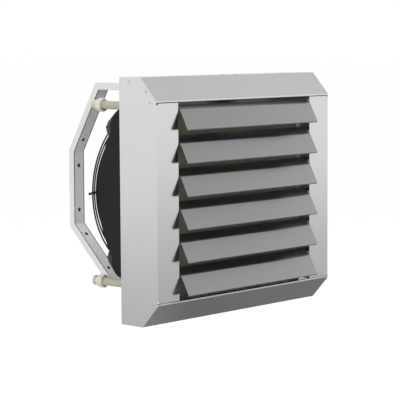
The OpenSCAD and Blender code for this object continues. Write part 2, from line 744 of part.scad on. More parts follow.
module front_header() color([0.72, 0.45, 0.3]) heater()
    header(front_header_x, front_row_y, lower_pipe_inset);
module rear_header() color([0.72, 0.45, 0.3]) heater()
    header(rear_header_x, rear_row_y, casing_h - upper_pipe_inset);

module header_caps() color([0.72, 0.45, 0.3]) heater()
    for (p = [[front_header_x, front_row_y], [rear_header_x, rear_row_y]],
        z = [header_bottom - header_t, header_bottom + header_len])
        rod_z([p.x, p.y, z], header_d / 2, header_t);

module pipe(row_y) difference() {
    rod_y([0, row_y + header_d / 2 - pipe_bite, 0], pipe_d / 2,
        pipe_len - header_d / 2 + pipe_bite - thread_len - hex_len + pipe_socket);
    rod_y([0, row_y, 0], pipe_d / 2 - pipe_t, pipe_len);
}

module upper_pipe() color([0.74, 0.73, 0.64]) heater()
    translate([upper_pipe_x, 0, casing_h - upper_pipe_inset]) pipe(rear_row_y);
module lower_pipe() color([0.74, 0.73, 0.64]) heater()
    translate([lower_pipe_x, 0, lower_pipe_inset]) pipe(front_row_y);

// Hexagon towards the casing, threaded end behind it
module connector(row_y) translate([0, row_y + pipe_len, 0]) rotate([90, 0, 0]) difference() {
    union() {
        cylinder(d = thread_d, h = thread_len);
        translate([0, 0, thread_len]) intersection() {
            cylinder(d = hex_flat / cos(30), h = hex_len, $fn = 6);
            rotate_extrude() polygon([[0, 0], [hex_flat / 2, 0], [hex_flat / 2 / cos(30), hex_flat / 12],
                [hex_flat / 2 / cos(30), hex_len - hex_flat / 12], [hex_flat / 2, hex_len], [0, hex_len]]);
        }
    }
    translate([0, 0, -over]) cylinder(d = water_bore_d, h = thread_len + hex_len + 2 * over);
    translate([0, 0, thread_len + hex_len - pipe_socket - seam])
        cylinder(r = pipe_d / 2 + seat_gap, h = pipe_socket + seam + over);
}

module upper_connector() color([0.76, 0.75, 0.66]) heater()
    translate([upper_pipe_x, 0, casing_h - upper_pipe_inset]) connector(rear_row_y);
module lower_connector() color([0.76, 0.75, 0.66]) heater()
    translate([lower_pipe_x, 0, lower_pipe_inset]) connector(front_row_y);

// Fan housing: a square that tapers to a round rim, with a lobe for the guard at each corner

module lobe(inset) rotate_extrude() polygon([
    [0, housing_d - lobe_foot], [lobe_r - inset, housing_d - lobe_foot],
    [lobe_r - inset, housing_d - lobe_shoulder], [lobe_waist_r - inset, housing_d - lobe_waist],
    [lobe_end_r - inset, guard_y - wire_r - casing_d], [0, guard_y - wire_r - casing_d]]);

// The outer form stands on the casing's rear edge, drawn along the fan's axis
module housing_form(inset) {
    intersection() {
        intersection_for (turn = [0, 1]) rotate([0, 0, 90 * turn])
            translate([0, base_half, 0]) rotate([90, 0, 0]) linear_extrude(2 * base_half)
                polygon([[-base_half + inset, 0], [base_half - inset, 0], [rim_half - inset, housing_d],
                    [-rim_half + inset, housing_d]]);
        linear_extrude(housing_d) rounded_square(base_half - inset, body_corner_r - inset);
        rotate_extrude() polygon([[0, 0], [rim_half + housing_d * tan(corner_slope) - inset, 0],
            [rim_half - inset, housing_d], [0, housing_d]]);
    }
    at_corners() translate([boss_at_r, 0, 0]) lobe(inset);
}

module at_corners() for (a = [45:90:315]) rotate([0, 0, a]) children();

module fan_housing() color([0.17, 0.17, 0.18]) heater()
    translate([0, casing_d, 0]) on_fan_axis() difference() {
        union() {
            linear_extrude(flange_t) rounded_square(flange_half, flange_corner_r);
            housing_form(0);
        }
        difference() {
            housing_cavity();
            translate([0, 0, housing_d - duct_len]) cylinder(r = duct_r + housing_t, h = duct_len + over);
            at_corners() translate([boss_at_r, 0, housing_d - boss_len])
                cylinder(r = boss_r, h = boss_len + over);
        }
        translate([0, 0, -over]) cylinder(r = duct_r, h = housing_d + 2 * over);
        translate([0, 0, housing_d]) cylinder(r = duct_r + lip_r, h = guard_lift);
        // rounded inlet of the duct
        rotate_extrude() difference() {
            translate([duct_r - over, housing_d - lip_r]) square([lip_r + over, lip_r + over]);
            translate([duct_r + lip_r, housing_d - lip_r]) circle(lip_r);
            translate([duct_r + lip_r / 2, housing_d - lip_r]) square([lip_r, lip_r + over]);
        }
        translate([0, 0, -casing_d]) rotate([90, 0, 0]) translate([0, 0, -middle_z]) at_housing_screws()
            rod_y([0, casing_d - over, 0], screw_r + seat_gap, flange_t + 2 * over);
        at_corners() translate([boss_at_r, 0, housing_d - boss_len / 2])
            cylinder(r = clip_screw_r + seat_gap, h = boss_len);
    }

module housing_cavity() intersection() {
    housing_form(housing_t);
    translate([-base_half, -base_half, -over])
        cube([2 * base_half, 2 * base_half, housing_d - housing_t + over]);
}

module housing_screws() color([0.3, 0.3, 0.3]) heater() at_housing_screws()
    translate([0, casing_d + flange_t, 0]) screw_y(screw_r, screw_len + flange_t, screw_head_r, screw_head_h);

// Guard: concentric rings on a dome, with ribs behind them

function ring_at(share) = let (r = hub_ring_r + dome_run * share)
    [r, guard_flat_y - dome_r + sqrt(dome_r ^ 2 - (r - hub_ring_r) ^ 2)];

module guard_ring(i) rotate_extrude() translate(ring_at(i / (ring_count - 1))) circle(wire_r);

module guard_outer_ring() color([0.1, 0.1, 0.11]) heater() on_fan_axis() guard_ring(ring_count - 1);
module guard_rings() color([0.1, 0.1, 0.11]) heater() on_fan_axis()
    for (i = [0:ring_count - 2]) guard_ring(i);

// A rib follows the dome on the rings' rear side, and its pressed foot stands on the motor plate
module rib(r, over_length) rotate([90, 0, 0]) {
    path_r = dome_r + wire_r + r;
    angle = asin((dome_run + over_length) / path_r);
    translate([hub_ring_r, guard_flat_y - dome_r]) rotate([0, 0, 90 - angle])
        rotate_extrude(angle = angle) translate([path_r, 0]) circle(r);
    translate([rib_foot_r, guard_flat_y + wire_r + foot_rise, -1.6 * r])
        cube([hub_ring_r - rib_foot_r + 3 * r, 1.2 * r, 3.2 * r]);
}

module guard_ribs() color([0.1, 0.1, 0.11]) heater() on_fan_axis() for (i = [0:3]) {
    rotate([0, 0, 90 * i]) rib(stay_r, stay_over);
    rotate([0, 0, 90 * i + 45]) rib(rib_r, -hook_in - rib_r - panel_gap);
}

// A clip on each lobe hooks over the outermost ring
module guard_clips() color([0.12, 0.12, 0.13]) heater() on_fan_axis() at_corners() {
    clip_start = guard_r + wire_r + panel_gap;
    difference() {
        translate([clip_start, -clip_w / 2, guard_y - wire_r])
            cube([boss_at_r + clip_out - clip_start, clip_w, 2 * wire_r]);
        translate([boss_at_r, 0, 0]) cylinder(r = clip_screw_r + seat_gap, h = wall_gap);
    }
    translate([guard_r - hook_in, -clip_w / 2, guard_y + wire_r])
        cube([clip_start + hook_t - guard_r + hook_in, clip_w, hook_rise]);
}

module guard_screws() color([0.2, 0.2, 0.2]) heater() on_fan_axis() at_corners()
    translate([boss_at_r, 0, guard_y + wire_r]) {
        translate([0, 0, -boss_len / 2]) cylinder(r = clip_screw_r, h = boss_len / 2);
        domed_head(clip_head_r, clip_head_h);
    }

// Motor

module at_motor_screws() for (a = [45:90:315]) rotate([0, 0, a]) translate([motor_pitch_r, 0, 0]) children();

module motor_plate() color([0.12, 0.12, 0.13]) heater() on_fan_axis() difference() {
    translate([0, 0, plate_y]) cylinder(r = plate_r, h = plate_t);
    translate([0, 0, plate_y - over]) cylinder(r = bearing_r, h = plate_t + 2 * over);
    at_motor_screws() translate([0, 0, plate_y - over])
        cylinder(r = motor_screw_r + panel_gap, h = plate_t + 2 * over);
}

front_bearing_y = rotor_y + rotor_t + rotor_boss_h + seam;
core_y = front_bearing_y;
rear_bearing_y = plate_y - bearing_w - seam;

module motor_stator() color([0.2, 0.2, 0.21]) heater() on_fan_axis() difference() {
    rotate_extrude() polygon([
        [shaft_r + race_t, core_y], [rotor_r - rotor_t - air_gap, core_y],
        [rotor_r - rotor_t - air_gap, core_y + core_len], [neck_r, core_y + core_len],
        [neck_r, plate_y - stator_flange_t], [flange_r, plate_y - stator_flange_t],
        [flange_r, plate_y], [shaft_r + race_t, plate_y]]);
    for (y = [front_bearing_y - over, rear_bearing_y])
        translate([0, 0, y]) cylinder(r = bearing_r + seat_gap, h = bearing_w + over + seam);
    at_motor_screws() translate([0, 0, plate_y - motor_screw_len])
        cylinder(r = motor_screw_r + seat_gap, h = motor_screw_len + over);
}

module motor_screws() color([0.7, 0.7, 0.7]) heater() on_fan_axis() at_motor_screws()
    translate([0, 0, plate_y + plate_t]) {
        cylinder(r = motor_head_r, h = motor_head_h, $fn = 6);
        translate([0, 0, seam - motor_screw_len]) cylinder(r = motor_screw_r, h = motor_screw_len - seam);
    }

// Ball bearing with its shield set back between the two races
module bearing(y) translate([0, 0, y]) rotate_extrude() polygon([
    [shaft_r + slip, 0], [shaft_r + race_t, 0], [shaft_r + race_t, shield_depth],
    [bearing_r - race_t, shield_depth], [bearing_r - race_t, 0], [bearing_r, 0],
    [bearing_r, bearing_w], [bearing_r - race_t, bearing_w], [bearing_r - race_t, bearing_w - shield_depth],
    [shaft_r + race_t, bearing_w - shield_depth], [shaft_r + race_t, bearing_w],
    [shaft_r + slip, bearing_w]]);

module front_bearing() color([0.8, 0.8, 0.8]) heater() on_fan_axis() bearing(front_bearing_y);
module rear_bearing() color([0.8, 0.8, 0.8]) heater() on_fan_axis() bearing(rear_bearing_y);

module motor_shaft() color([0.8, 0.8, 0.8]) heater() on_fan_axis() translate([0, 0, rotor_y])
    cylinder(r = shaft_r, h = rear_bearing_y + bearing_w - rotor_y);

// Outer rotor: a cup, closed in front, whose boss holds the shaft
module motor_rotor() color([0.15, 0.15, 0.16]) heater() on_fan_axis() translate([0, 0, rotor_y])
    rotate_extrude() polygon([
        [shaft_r + seat_gap, 0], [rotor_r - 2 * rotor_t, 0], [rotor_r, 2 * rotor_t], [rotor_r, rotor_len],
        [rotor_r - rotor_t, rotor_len], [rotor_r - rotor_t, 2 * rotor_t], [rotor_r - 2 * rotor_t, rotor_t],
        [rotor_boss_r, rotor_t], [rotor_boss_r, rotor_t + rotor_boss_h],
        [shaft_r + seat_gap, rotor_t + rotor_boss_h]]);

// Impeller: swept and twisted blades round a hub ring

hub_r = rotor_r + seat_gap + hub_t;
blade_tip_r = duct_r - tip_gap;

// One blade section: points round a cambered plate at a given share of the blade's height
function blade_section(share) =
    let (r = mix(hub_r - hub_t / 2, blade_tip_r, share), chord = mix(root_chord, tip_chord, share))
    let (stagger = mix(root_angle, tip_angle, share), lead = sweep_angle * share ^ 2)
    [for (side = [1, -1], s = [0:chord_steps])
        let (u = side > 0 ? s / chord_steps : 1 - s / chord_steps)
        let (half = blade_t / 2 * (1 - 0.6 * abs(2 * u - 1) ^ 3) * (1 - share / 3))
        let (w = (u - 0.5) * chord, rise = chord * blade_camber_share * (1 - (2 * u - 1) ^ 2) + side * half)
        let (along = w * cos(stagger) - rise * sin(stagger), up = w * sin(stagger) + rise * cos(stagger))
        let (a = lead + along / r * 180 / PI)
        [r * cos(a), r * sin(a), up]];

ring_points = 2 * (chord_steps + 1);
module blade() {
    points = [for (k = [0:blade_stations]) each blade_section(k / blade_stations)];
    sides = [for (k = [0:blade_stations - 1], j = [0:ring_points - 1])
        let (a = k * ring_points + j, b = k * ring_points + (j + 1) % ring_points)
        for (f = [[a, a + ring_points, b], [b, a + ring_points, b + ring_points]]) f];
    caps = [for (k = [0, blade_stations], j = [0:chord_steps - 1])
        let (base = k * ring_points, a = base + j, b = base + j + 1)
        let (c = base + ring_points - 2 - j, d = base + ring_points - 1 - j)
        for (f = [[a, b, c], [a, c, d]]) k == 0 ? f : reversed(f)];
    polyhedron(points, concat(sides, caps));
}

module impeller_hub() color([0.13, 0.13, 0.14]) heater() on_fan_axis()
    translate([0, 0, rotor_y + hub_front]) difference() {
        cylinder(r = hub_r, h = hub_len);
        translate([0, 0, -over]) cylinder(r = rotor_r + seat_gap, h = hub_len + 2 * over);
    }

module impeller_blades() color([0.13, 0.13, 0.14]) heater() on_fan_axis()
    translate([0, 0, rotor_y + hub_front + hub_len / 2])
        for (i = [0:blade_count - 1]) rotate([0, 0, i * 360 / blade_count]) difference() {
            blade();
            translate([0, 0, -hub_len]) cylinder(r = hub_r, h = 2 * hub_len);
        }

// Terminal box behind the motor, with a gland for the supply cable

box_y = plate_y + plate_t;
gland_y = box_y + box_d / 2;

module terminal_box() color([0.2, 0.2, 0.21]) heater() translate([0, 0, middle_z]) difference() {
    translate([-box_w / 2, box_y, -box_h / 2]) cube([box_w, box_d, box_h]);
    translate([-box_w / 2 + box_t, box_y + box_t, -box_h / 2 + box_t])
        cube([box_w - 2 * box_t, box_d, box_h - 2 * box_t]);
    rod_x([-box_w / 2 - over, gland_y, 0], gland_r - gland_wall + seat_gap, box_t + 2 * over);
}

module at_cover_screws() for (x = [-1, 1])
    translate([x * (box_w / 2 - cover_screw_in), 0, middle_z]) children();

module terminal_cover() color([0.16, 0.16, 0.17]) heater() difference() {
    translate([-box_w / 2, box_y + box_d, middle_z - box_h / 2]) cube([box_w, cover_t, box_h]);
    at_cover_screws() rod_y([0, box_y + box_d - over, 0], screw_r + seat_gap, cover_t + 2 * over);
}

module cover_screws() color([0.75, 0.75, 0.75]) heater() at_cover_screws()
    translate([0, box_y + box_d + cover_t, 0]) screw_y(screw_r, screw_len, screw_head_r, screw_head_h);

module cable_gland() color([0.15, 0.15, 0.16]) heater()
    translate([-box_w / 2, gland_y, middle_z]) difference() {
        union() {
            rod_x([0, 0, 0], gland_r - gland_wall, box_t);
            translate([-gland_nut_len, 0, 0]) rotate([0, 90, 0])
                cylinder(r = gland_r / cos(30), h = gland_nut_len, $fn = 6);
            rod_x([-gland_len, 0, 0], gland_r - gland_wall / 2, gland_len - gland_nut_len);
        }
        rod_x([-gland_len - over, 0, 0], gland_bore_r, gland_len + box_t + 2 * over);
    }

console_upper_arm();
console_upper_stretch();
console_middle_stretch();
console_lower_stretch();
console_lower_arm();
console_end_caps();
console_bushes();
pivot_bolts();
pivot_nuts();
upper_pivot_bracket();
lower_pivot_bracket();
bracket_rivets();
left_side_panel();
right_side_panel();
top_panel();
bottom_panel();
back_panel();
panel_rivets();
back_panel_screws();
coil_fins();
coil_left_plate();
coil_right_plate();
coil_top_channel();
coil_bottom_channel();
heating_tubes();
front_header();
rear_header();
header_caps();
upper_pipe();
lower_pipe();
upper_connector();
lower_connector();
fan_housing();
housing_screws();
guard_outer_ring();
guard_rings();
guard_ribs();
guard_clips();
guard_screws();
motor_plate();
motor_stator();
motor_screws();
front_bearing();
rear_bearing();
motor_shaft();
motor_rotor();
impeller_hub();
impeller_blades();
terminal_box();
terminal_cover();
cover_screws();
cable_gland();
louver_1();
louver_2();
louver_3();
louver_4();
louver_5();
louver_6();
louver_pins();
louver_washers();
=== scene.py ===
"""Dresses the fan heater's CAD frame: folded sheets, louvres, coil, pipes, fan, guard and console."""

import json
import math
import bmesh
import bpy
from bpy.props import FloatProperty, FloatVectorProperty, IntProperty, PointerProperty
from mathutils import Euler, Matrix, Vector


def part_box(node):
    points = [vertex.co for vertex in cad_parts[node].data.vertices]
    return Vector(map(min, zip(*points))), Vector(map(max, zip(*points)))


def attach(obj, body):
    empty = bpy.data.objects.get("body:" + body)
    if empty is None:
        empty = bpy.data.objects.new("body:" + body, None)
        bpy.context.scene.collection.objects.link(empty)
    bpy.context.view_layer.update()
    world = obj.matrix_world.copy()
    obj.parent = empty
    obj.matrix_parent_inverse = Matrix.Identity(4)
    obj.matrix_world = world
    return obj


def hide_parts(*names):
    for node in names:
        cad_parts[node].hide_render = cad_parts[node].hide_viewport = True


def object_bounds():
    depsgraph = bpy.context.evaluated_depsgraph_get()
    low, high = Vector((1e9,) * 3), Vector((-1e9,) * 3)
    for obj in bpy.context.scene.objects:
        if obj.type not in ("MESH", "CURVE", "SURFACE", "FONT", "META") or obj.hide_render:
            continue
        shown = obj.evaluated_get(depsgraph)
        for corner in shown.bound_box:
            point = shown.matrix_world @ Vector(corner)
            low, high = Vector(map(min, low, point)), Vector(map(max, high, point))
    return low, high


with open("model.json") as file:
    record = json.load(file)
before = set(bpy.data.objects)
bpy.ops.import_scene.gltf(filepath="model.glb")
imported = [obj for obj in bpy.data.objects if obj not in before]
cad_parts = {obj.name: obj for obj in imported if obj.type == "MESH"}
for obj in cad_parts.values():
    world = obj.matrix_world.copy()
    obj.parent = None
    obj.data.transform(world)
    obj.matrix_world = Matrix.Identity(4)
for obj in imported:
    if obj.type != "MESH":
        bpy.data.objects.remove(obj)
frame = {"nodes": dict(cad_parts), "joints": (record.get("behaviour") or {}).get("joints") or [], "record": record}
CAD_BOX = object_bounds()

bl_info = {
    "name": "Fan heater dressing",
    "version": (1, 0, 0),
    "blender": (4, 5, 0),
    "location": "View3D > Sidebar > Fan heater",
    "description": "Builds the visible pieces of the ceiling mounted fan heater on its CAD frame",
    "category": "Object",
}

MM = 0.001
BODY_OF = {node: body for body, nodes in frame["record"]["behaviour"]["bodies"].items() for node in nodes}
SLOT_OF = {row["node"]: row["material_slot"] for row in frame["record"]["subparts"]}
JOINT_AT = {joint["name"]: Vector(joint["pos_m"]) for joint in frame["joints"]}
FINISHES = {}

# Places closer than this are one place
NEAR = 0.01 * MM
# How far a cutter runs past the face that it leaves
OVERRUN = 2 * MM


# Sizes and colours


def length(label, text, default):
    return FloatProperty(
        name=label, description=text, default=default * MM, min=0.0, unit="LENGTH", subtype="DISTANCE")


def angle(label, text, degrees):
    return FloatProperty(name=label, description=text, default=math.radians(degrees), subtype="ANGLE")


def colour(label, text, default):
    return FloatVectorProperty(
        name=label, description=text, default=default, size=3, min=0.0, max=1.0, subtype="COLOR")


class HeaterSizes(bpy.types.PropertyGroup):
    louver_gauge: length("Louvre gauge", "Thickness of a louvre's sheet", 1.0)
    louver_slope: angle("Louvre slope", "Slope of a louvre's front plate", 28)
    flange_slope: angle("Flange slope", "Slope of a louvre's rear flange", 45)
    louver_chord: length("Louvre plate", "Length of a louvre's front plate", 56.0)
    louver_flange: length("Louvre flange", "Length of a louvre's rear flange", 28.0)
    louver_hem: length("Louvre hem", "Length of the fold along a louvre's lower edge", 5.0)
    fold_forward: length("Fold forward", "From a louvre's pivot forward to its fold", 14.0)
    fold_drop: length("Fold drop", "From a louvre's pivot down to its fold", 6.0)
    ear_radius: length("Ear radius", "Radius of an ear's round end", 8.0)
    ear_reach: length("Ear reach", "How far an ear runs down behind the front plate", 6.0)
    fin_gauge: length("Fin gauge", "Thickness of a fin", 0.25)
    fin_pitch: length("Fin pitch", "Spacing of the coil's thin fins", 2.5)
    fin_wave: length("Fin wave", "Depth of the waves across a fin", 0.35)
    wire: length("Guard wire", "Thickness of the guard's rings", 4.4)
    hub_ring: length("Hub ring", "Radius of the guard's innermost ring", 75.0)
    ring_count: IntProperty(name="Rings", description="Number of rings in the guard", default=13, min=2)
    pipe: length("Pipe", "Outer diameter of the water pipes", 22.0)
    pipe_wall: length("Pipe wall", "Wall of the water pipes", 1.5)
    water_bore: length("Water bore", "Radius of the connectors' bore", 8.5)
    hexagon: length("Hexagon", "Width of the connectors over two flats", 32.0)
    hexagon_length: length("Hexagon length", "Length of the connectors' hexagon", 20.0)
    thread: length("Thread", "Outer diameter of the pipe thread", 26.4)
    thread_length: length("Thread length", "Length of the pipe thread", 18.0)
    thread_pitch: length("Thread pitch", "Spacing of the thread's ridges", 1.8)
    thread_depth: length("Thread depth", "Depth of the thread's ridges", 1.0)
    tube_depth: length("Tube depth", "Depth of the console's tube", 20.0)
    tube_wall: length("Tube wall", "Wall of the console's tube", 2.0)
    pivot_bore: length("Pivot bore", "Radius of the arms' bores round the bushes", 6.58)
    soft_edge: length("Soft edge", "Width of the rounded edge on sheet metal", 0.2)


class HeaterColours(bpy.types.PropertyGroup):
    casing: colour("Casing", "Smooth coated sheet of the casing", (0.73, 0.73, 0.735))
    louvre: colour("Louvres", "Grey metallic coat of the louvres", (0.375, 0.375, 0.38))
    console: colour("Console", "Light grey powder coat of the console", (0.74, 0.74, 0.745))
    # Painted shadow: the dark colour of the strips in the console's seams, where the gaps lie in shade
    painted_shadow: colour("Seam_shadow", "Dark sealer in the console's seams", (0.05, 0.05, 0.052))
    inner: colour("Inner sheet", "Bare zinc-coated sheet inside", (0.46, 0.47, 0.48))
    zinc: colour("Zinc", "Zinc-plated fasteners", (0.58, 0.58, 0.56))
    fins: colour("Fins", "Thin coated sheet of the fins", (0.62, 0.62, 0.50))
    copper: colour("Copper", "Copper tube of the coil", (0.60, 0.26, 0.14))
    pipe: colour("Pipes", "Beige paint of the water pipes", (0.43, 0.41, 0.31))
    brass: colour("Connectors", "Pale beige plate of the connectors", (0.70, 0.68, 0.57))
    plastic: colour("Moulded black", "Black moulded plastic", (0.008, 0.009, 0.011))
    wire: colour("Wire", "Black coat of the guard", (0.018, 0.018, 0.019))
    motor: colour("Motor", "Black coat of the motor", (0.020, 0.020, 0.022))
    blade: colour("Blades", "Black plastic of the impeller", (0.022, 0.023, 0.026))
    steel: colour("Ground steel", "Bearings and shaft", (0.60, 0.60, 0.61))
    nylon: colour("Nylon", "Natural nylon of bushes and washers", (0.62, 0.61, 0.55))


class HeaterStage(bpy.types.PropertyGroup):
    azimuth: angle("Azimuth", "Camera's turn round the heater", -47.5063)
    elevation: angle("Elevation", "Camera's height as an angle", 5.4922)
    roll: angle("Roll", "Camera's roll", -0.3392)
    place: FloatVectorProperty(
        name="Place", description="Camera's place", default=(-3.3977, -3.6166, 0.4352),
        subtype="TRANSLATION")
    lens: FloatProperty(name="Lens", description="Focal length", default=150.8, unit="CAMERA")
    floor_drop: length("Floor drop", "Height of the lowest piece above the floor", 450.0)


def sizes():
    return bpy.context.scene.heater_sizes


# Modelling by hand


def choose(piece):
    """Makes one piece the only selected and active object, in object mode."""
    if bpy.context.mode != "OBJECT":
        bpy.ops.object.mode_set(mode="OBJECT")
    bpy.ops.object.select_all(action="DESELECT")
    piece.select_set(True)
    bpy.context.view_layer.objects.active = piece


def edit(piece, kind="FACE", everything=False):
    choose(piece)
    bpy.ops.object.mode_set(mode="EDIT")
    bpy.ops.mesh.select_mode(type=kind)
    bpy.ops.mesh.select_all(action="SELECT" if everything else "DESELECT")


def done():
    bpy.ops.object.mode_set(mode="OBJECT")


def select(piece, kind, test):
    """Selects the vertices, edges or faces that pass a test."""
    bpy.ops.mesh.select_mode(type=kind)
    bpy.ops.mesh.select_all(action="DESELECT")
    mesh = bmesh.from_edit_mesh(piece.data)
    for element in {"VERT": mesh.verts, "EDGE": mesh.edges, "FACE": mesh.faces}[kind]:
        if test(element):
            element.select_set(True)
    bmesh.update_edit_mesh(piece.data)


def settle(piece):
    """Puts a piece's place into its mesh."""
    choose(piece)
    bpy.ops.object.transform_apply(location=True, rotation=True, scale=True)


def added(name):
    piece = bpy.context.active_object
    piece.name = name
    piece.data.name = name
    return piece


def modify(piece, kind, **settings):
    choose(piece)
    modifier = piece.modifiers.new(kind.title(), kind)
    for key, value in settings.items():
        setattr(modifier, key, value)
    bpy.ops.object.modifier_apply(modifier=modifier.name)


def thicken(piece, thickness, offset):
    modify(piece, "SOLIDIFY", thickness=thickness, offset=offset, use_even_offset=True)


def soften(piece, width, angle=32, segments=2):
    modify(piece, "BEVEL", width=width, segments=segments, limit_method="ANGLE",
           angle_limit=math.radians(angle))


def smooth(piece, angle=32):
    choose(piece)
    bpy.ops.object.shade_smooth_by_angle(angle=math.radians(angle))


def even_shading(piece):
    """Lets the large flat faces rule the normals, so that only the rounded edges between them shade."""
    modify(piece, "WEIGHTED_NORMAL", mode="FACE_AREA", weight=100, keep_sharp=True)


def merged(piece):
    edit(piece, "VERT", everything=True)
    bpy.ops.mesh.remove_doubles(threshold=NEAR)
    done()


def outward(piece):
    edit(piece, "FACE", everything=True)
    bpy.ops.mesh.normals_make_consistent(inside=False)
    done()


def copy_of(piece, name, place=None):
    """A copy with its own mesh, moved to a place."""
    twin = piece.copy()
    twin.data = piece.data.copy()
    twin.name = name
    twin.data.name = name
    bpy.context.scene.collection.objects.link(twin)
    if place is not None:
        twin.data.transform(Matrix.Translation(place))
    return twin


def joined(pieces, name):
    choose(pieces[0])
    for piece in pieces[1:]:
        piece.select_set(True)
    if len(pieces) > 1:
        bpy.ops.object.join()
    return added(name)


def removed(piece):
    bpy.data.objects.remove(piece, do_unlink=True)


def cut(piece, cutter, operation="DIFFERENCE"):
    """Boolean with a cutter, which is removed afterwards."""
    modify(piece, "BOOLEAN", operation=operation, object=cutter, solver="EXACT")
    removed(cutter)


def folded_sheet(name, path, width, gauge=0.0, bend=0.0):
    """A sheet along X that follows a path of (y, z) places, with every fold bevelled to a bend."""
    points = [Vector((0.0, y, z)) for y, z in path]
    first = points[1] - points[0]
    bpy.ops.mesh.primitive_plane_add(
        size=1, location=(points[0] + points[1]) / 2, rotation=(math.atan2(first.z, first.y), 0, 0))
    piece = added(name)
    piece.scale = (width, first.length, 1)
    settle(piece)
    edit(piece, "EDGE")

    def lies_on(place):
        return lambda edge: all((vert.co - place).yz.length < NEAR for vert in edge.verts)

    for here, there in zip(points[1:], points[2:]):
        select(piece, "EDGE", lies_on(here))
        bpy.ops.mesh.extrude_region_move(TRANSFORM_OT_translate={"value": there - here})
    if bend:
        for before, here, after in zip(points, points[1:], points[2:]):
            turn = (here - before).angle(after - here)
            select(piece, "EDGE", lies_on(here))
            bpy.ops.mesh.bevel(
                offset_type="OFFSET", offset=bend * math.tan(turn / 2), segments=4, affect="EDGES")
    done()
    if gauge:
        thicken(piece, gauge, 0)
    return piece


def turned(name, profile, segments=48, closed=False):
    """A piece turned on a lathe: rings of (radius, height), extruded and scaled one after another."""
    radius, height = profile[0]
    bpy.ops.mesh.primitive_circle_add(
        vertices=segments, radius=radius, location=(0, 0, height), fill_type="NOTHING")
    piece = added(name)
    settle(piece)
    edit(piece, "EDGE", everything=True)
    if not closed:
        bpy.ops.mesh.edge_face_add()
        bpy.ops.mesh.select_mode(type="EDGE")
    for ring, lift in profile[1:]:
        bpy.ops.mesh.extrude_edges_move(TRANSFORM_OT_translate={"value": (0, 0, lift - height)})
        bpy.ops.transform.resize(value=(ring / radius, ring / radius, 1))
        radius, height = ring, lift
    if not closed:
        bpy.ops.mesh.edge_face_add()
    done()
    merged(piece)
    outward(piece)
    return piece


QUARTER = math.pi / 2
TURNS = {"Z": (0, 0, 0), "-Z": (math.pi, 0, 0), "Y": (-QUARTER, 0, 0), "-Y": (QUARTER, 0, 0),
         "X": (0, QUARTER, 0), "-X": (0, -QUARTER, 0)}
AXIS = {"X": Vector((1, 0, 0)), "-X": Vector((-1, 0, 0)), "Y": Vector((0, 1, 0)),
        "Z": Vector((0, 0, 1)), "-Z": Vector((0, 0, -1))}


def placed(piece, place, direction):
    """Moves a piece that was made upright at the origin, and lays it along an axis."""
    turn = Euler(TURNS[direction]).to_matrix().to_4x4()
    piece.data.transform(Matrix.Translation(place) @ turn)
    return piece


def cad_copy(node, name):
    """A merged copy of a CAD node, outside the frame's tree."""
    piece = copy_of(frame["nodes"][node], name)
    piece.parent = None
    for key in list(piece.keys()):
        del piece[key]
    merged(piece)
    return piece


def islands(node):
    """The lowest and highest corners of each loose solid in a CAD node."""
    twin = cad_copy(node, "scratch")
    mesh = bmesh.new()
    mesh.from_mesh(twin.data)
    boxes = []
    seen = set()
    for start in mesh.verts:
        if start.index in seen:
            continue
        stack, group = [start], []
        seen.add(start.index)
        while stack:
            vert = stack.pop()
            group.append(vert.co.copy())
            for edge in vert.link_edges:
                other = edge.other_vert(vert)
                if other.index not in seen:
                    seen.add(other.index)
                    stack.append(other)
        low = Vector([min(co[i] for co in group) for i in range(3)])
        high = Vector([max(co[i] for co in group) for i in range(3)])
        boxes.append((low, high))
    mesh.free()
    removed(twin)
    return sorted(boxes, key=lambda box: tuple(round(v, 4) for v in box[0]))


def finished(piece, node, *others, finish=None):
    """Gives a piece its finish and body, and lets it stand for its CAD nodes."""
    slot = SLOT_OF[node]
    piece.data.materials.clear()
    piece.data.materials.append(FINISHES[finish or slot])
    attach(piece, BODY_OF[node])
    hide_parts(node, *others)
    return piece


def refined(node, name, width, angle=32, segments=2):
    """A merged copy of a CAD piece with rounded edges and smooth bends."""
    piece = cad_copy(node, name)
    edit(piece, "FACE", everything=True)
    bpy.ops.mesh.dissolve_limited(angle_limit=math.radians(0.5))
    done()
    if width:
        soften(piece, width, angle, segments)
    smooth(piece, angle)
    if width:
        even_shading(piece)
    return finished(piece, node)


# Finishes

# Kinds of the sockets that aren't plain numbers
SOCKET_KINDS = {"Colour": "NodeSocketColor", "Stretch": "NodeSocketVector"}


class Nodes:
    """A node tree that is filled from the left to the right."""

    def __init__(self, tree):
        self.tree = tree
        self.column = 0

    def add(self, kind, inputs=None, **settings):
        node = self.tree.nodes.new(kind)
        self.column += 180
        node.location = (self.column, 0)
        for key, value in settings.items():
            setattr(node, key, value)
        for key, value in (inputs or {}).items():
            if isinstance(value, bpy.types.NodeSocket):
                self.tree.links.new(value, node.inputs[key])
            else:
                node.inputs[key].default_value = value
        return node

    def place(self):
        """The place on the piece."""
        return self.add("ShaderNodeTexCoord").outputs["Object"]

    def maths(self, operation, *values):
        return self.add("ShaderNodeMath", dict(enumerate(values)), operation=operation).outputs[0]

    def noise(self, place, scale, detail):
        inputs = {"Vector": place, "Scale": scale, "Detail": detail}
        return self.add("ShaderNodeTexNoise", inputs).outputs[0]

    def mapped(self, value, start, end, low, high):
        inputs = {"Value": value, "From Min": start, "From Max": end, "To Min": low, "To Max": high}
        return self.add("ShaderNodeMapRange", inputs).outputs[0]

    def scaled(self, colour_socket, share):
        inputs = {0: colour_socket, "Scale": share}
        return self.add("ShaderNodeVectorMath", inputs, operation="SCALE").outputs[0]

    def mixed(self, share, first, second):
        return self.add("ShaderNodeMixShader", {0: share, 1: first, 2: second}).outputs[0]

    def reflected(self, rays, plain, seen_by_metal):
        """One shader for the rays that metal or glass sends, another for all others."""
        sent = self.maths("MAXIMUM", rays["Is Glossy Ray"], rays["Is Transmission Ray"])
        return self.mixed(sent, plain, seen_by_metal)


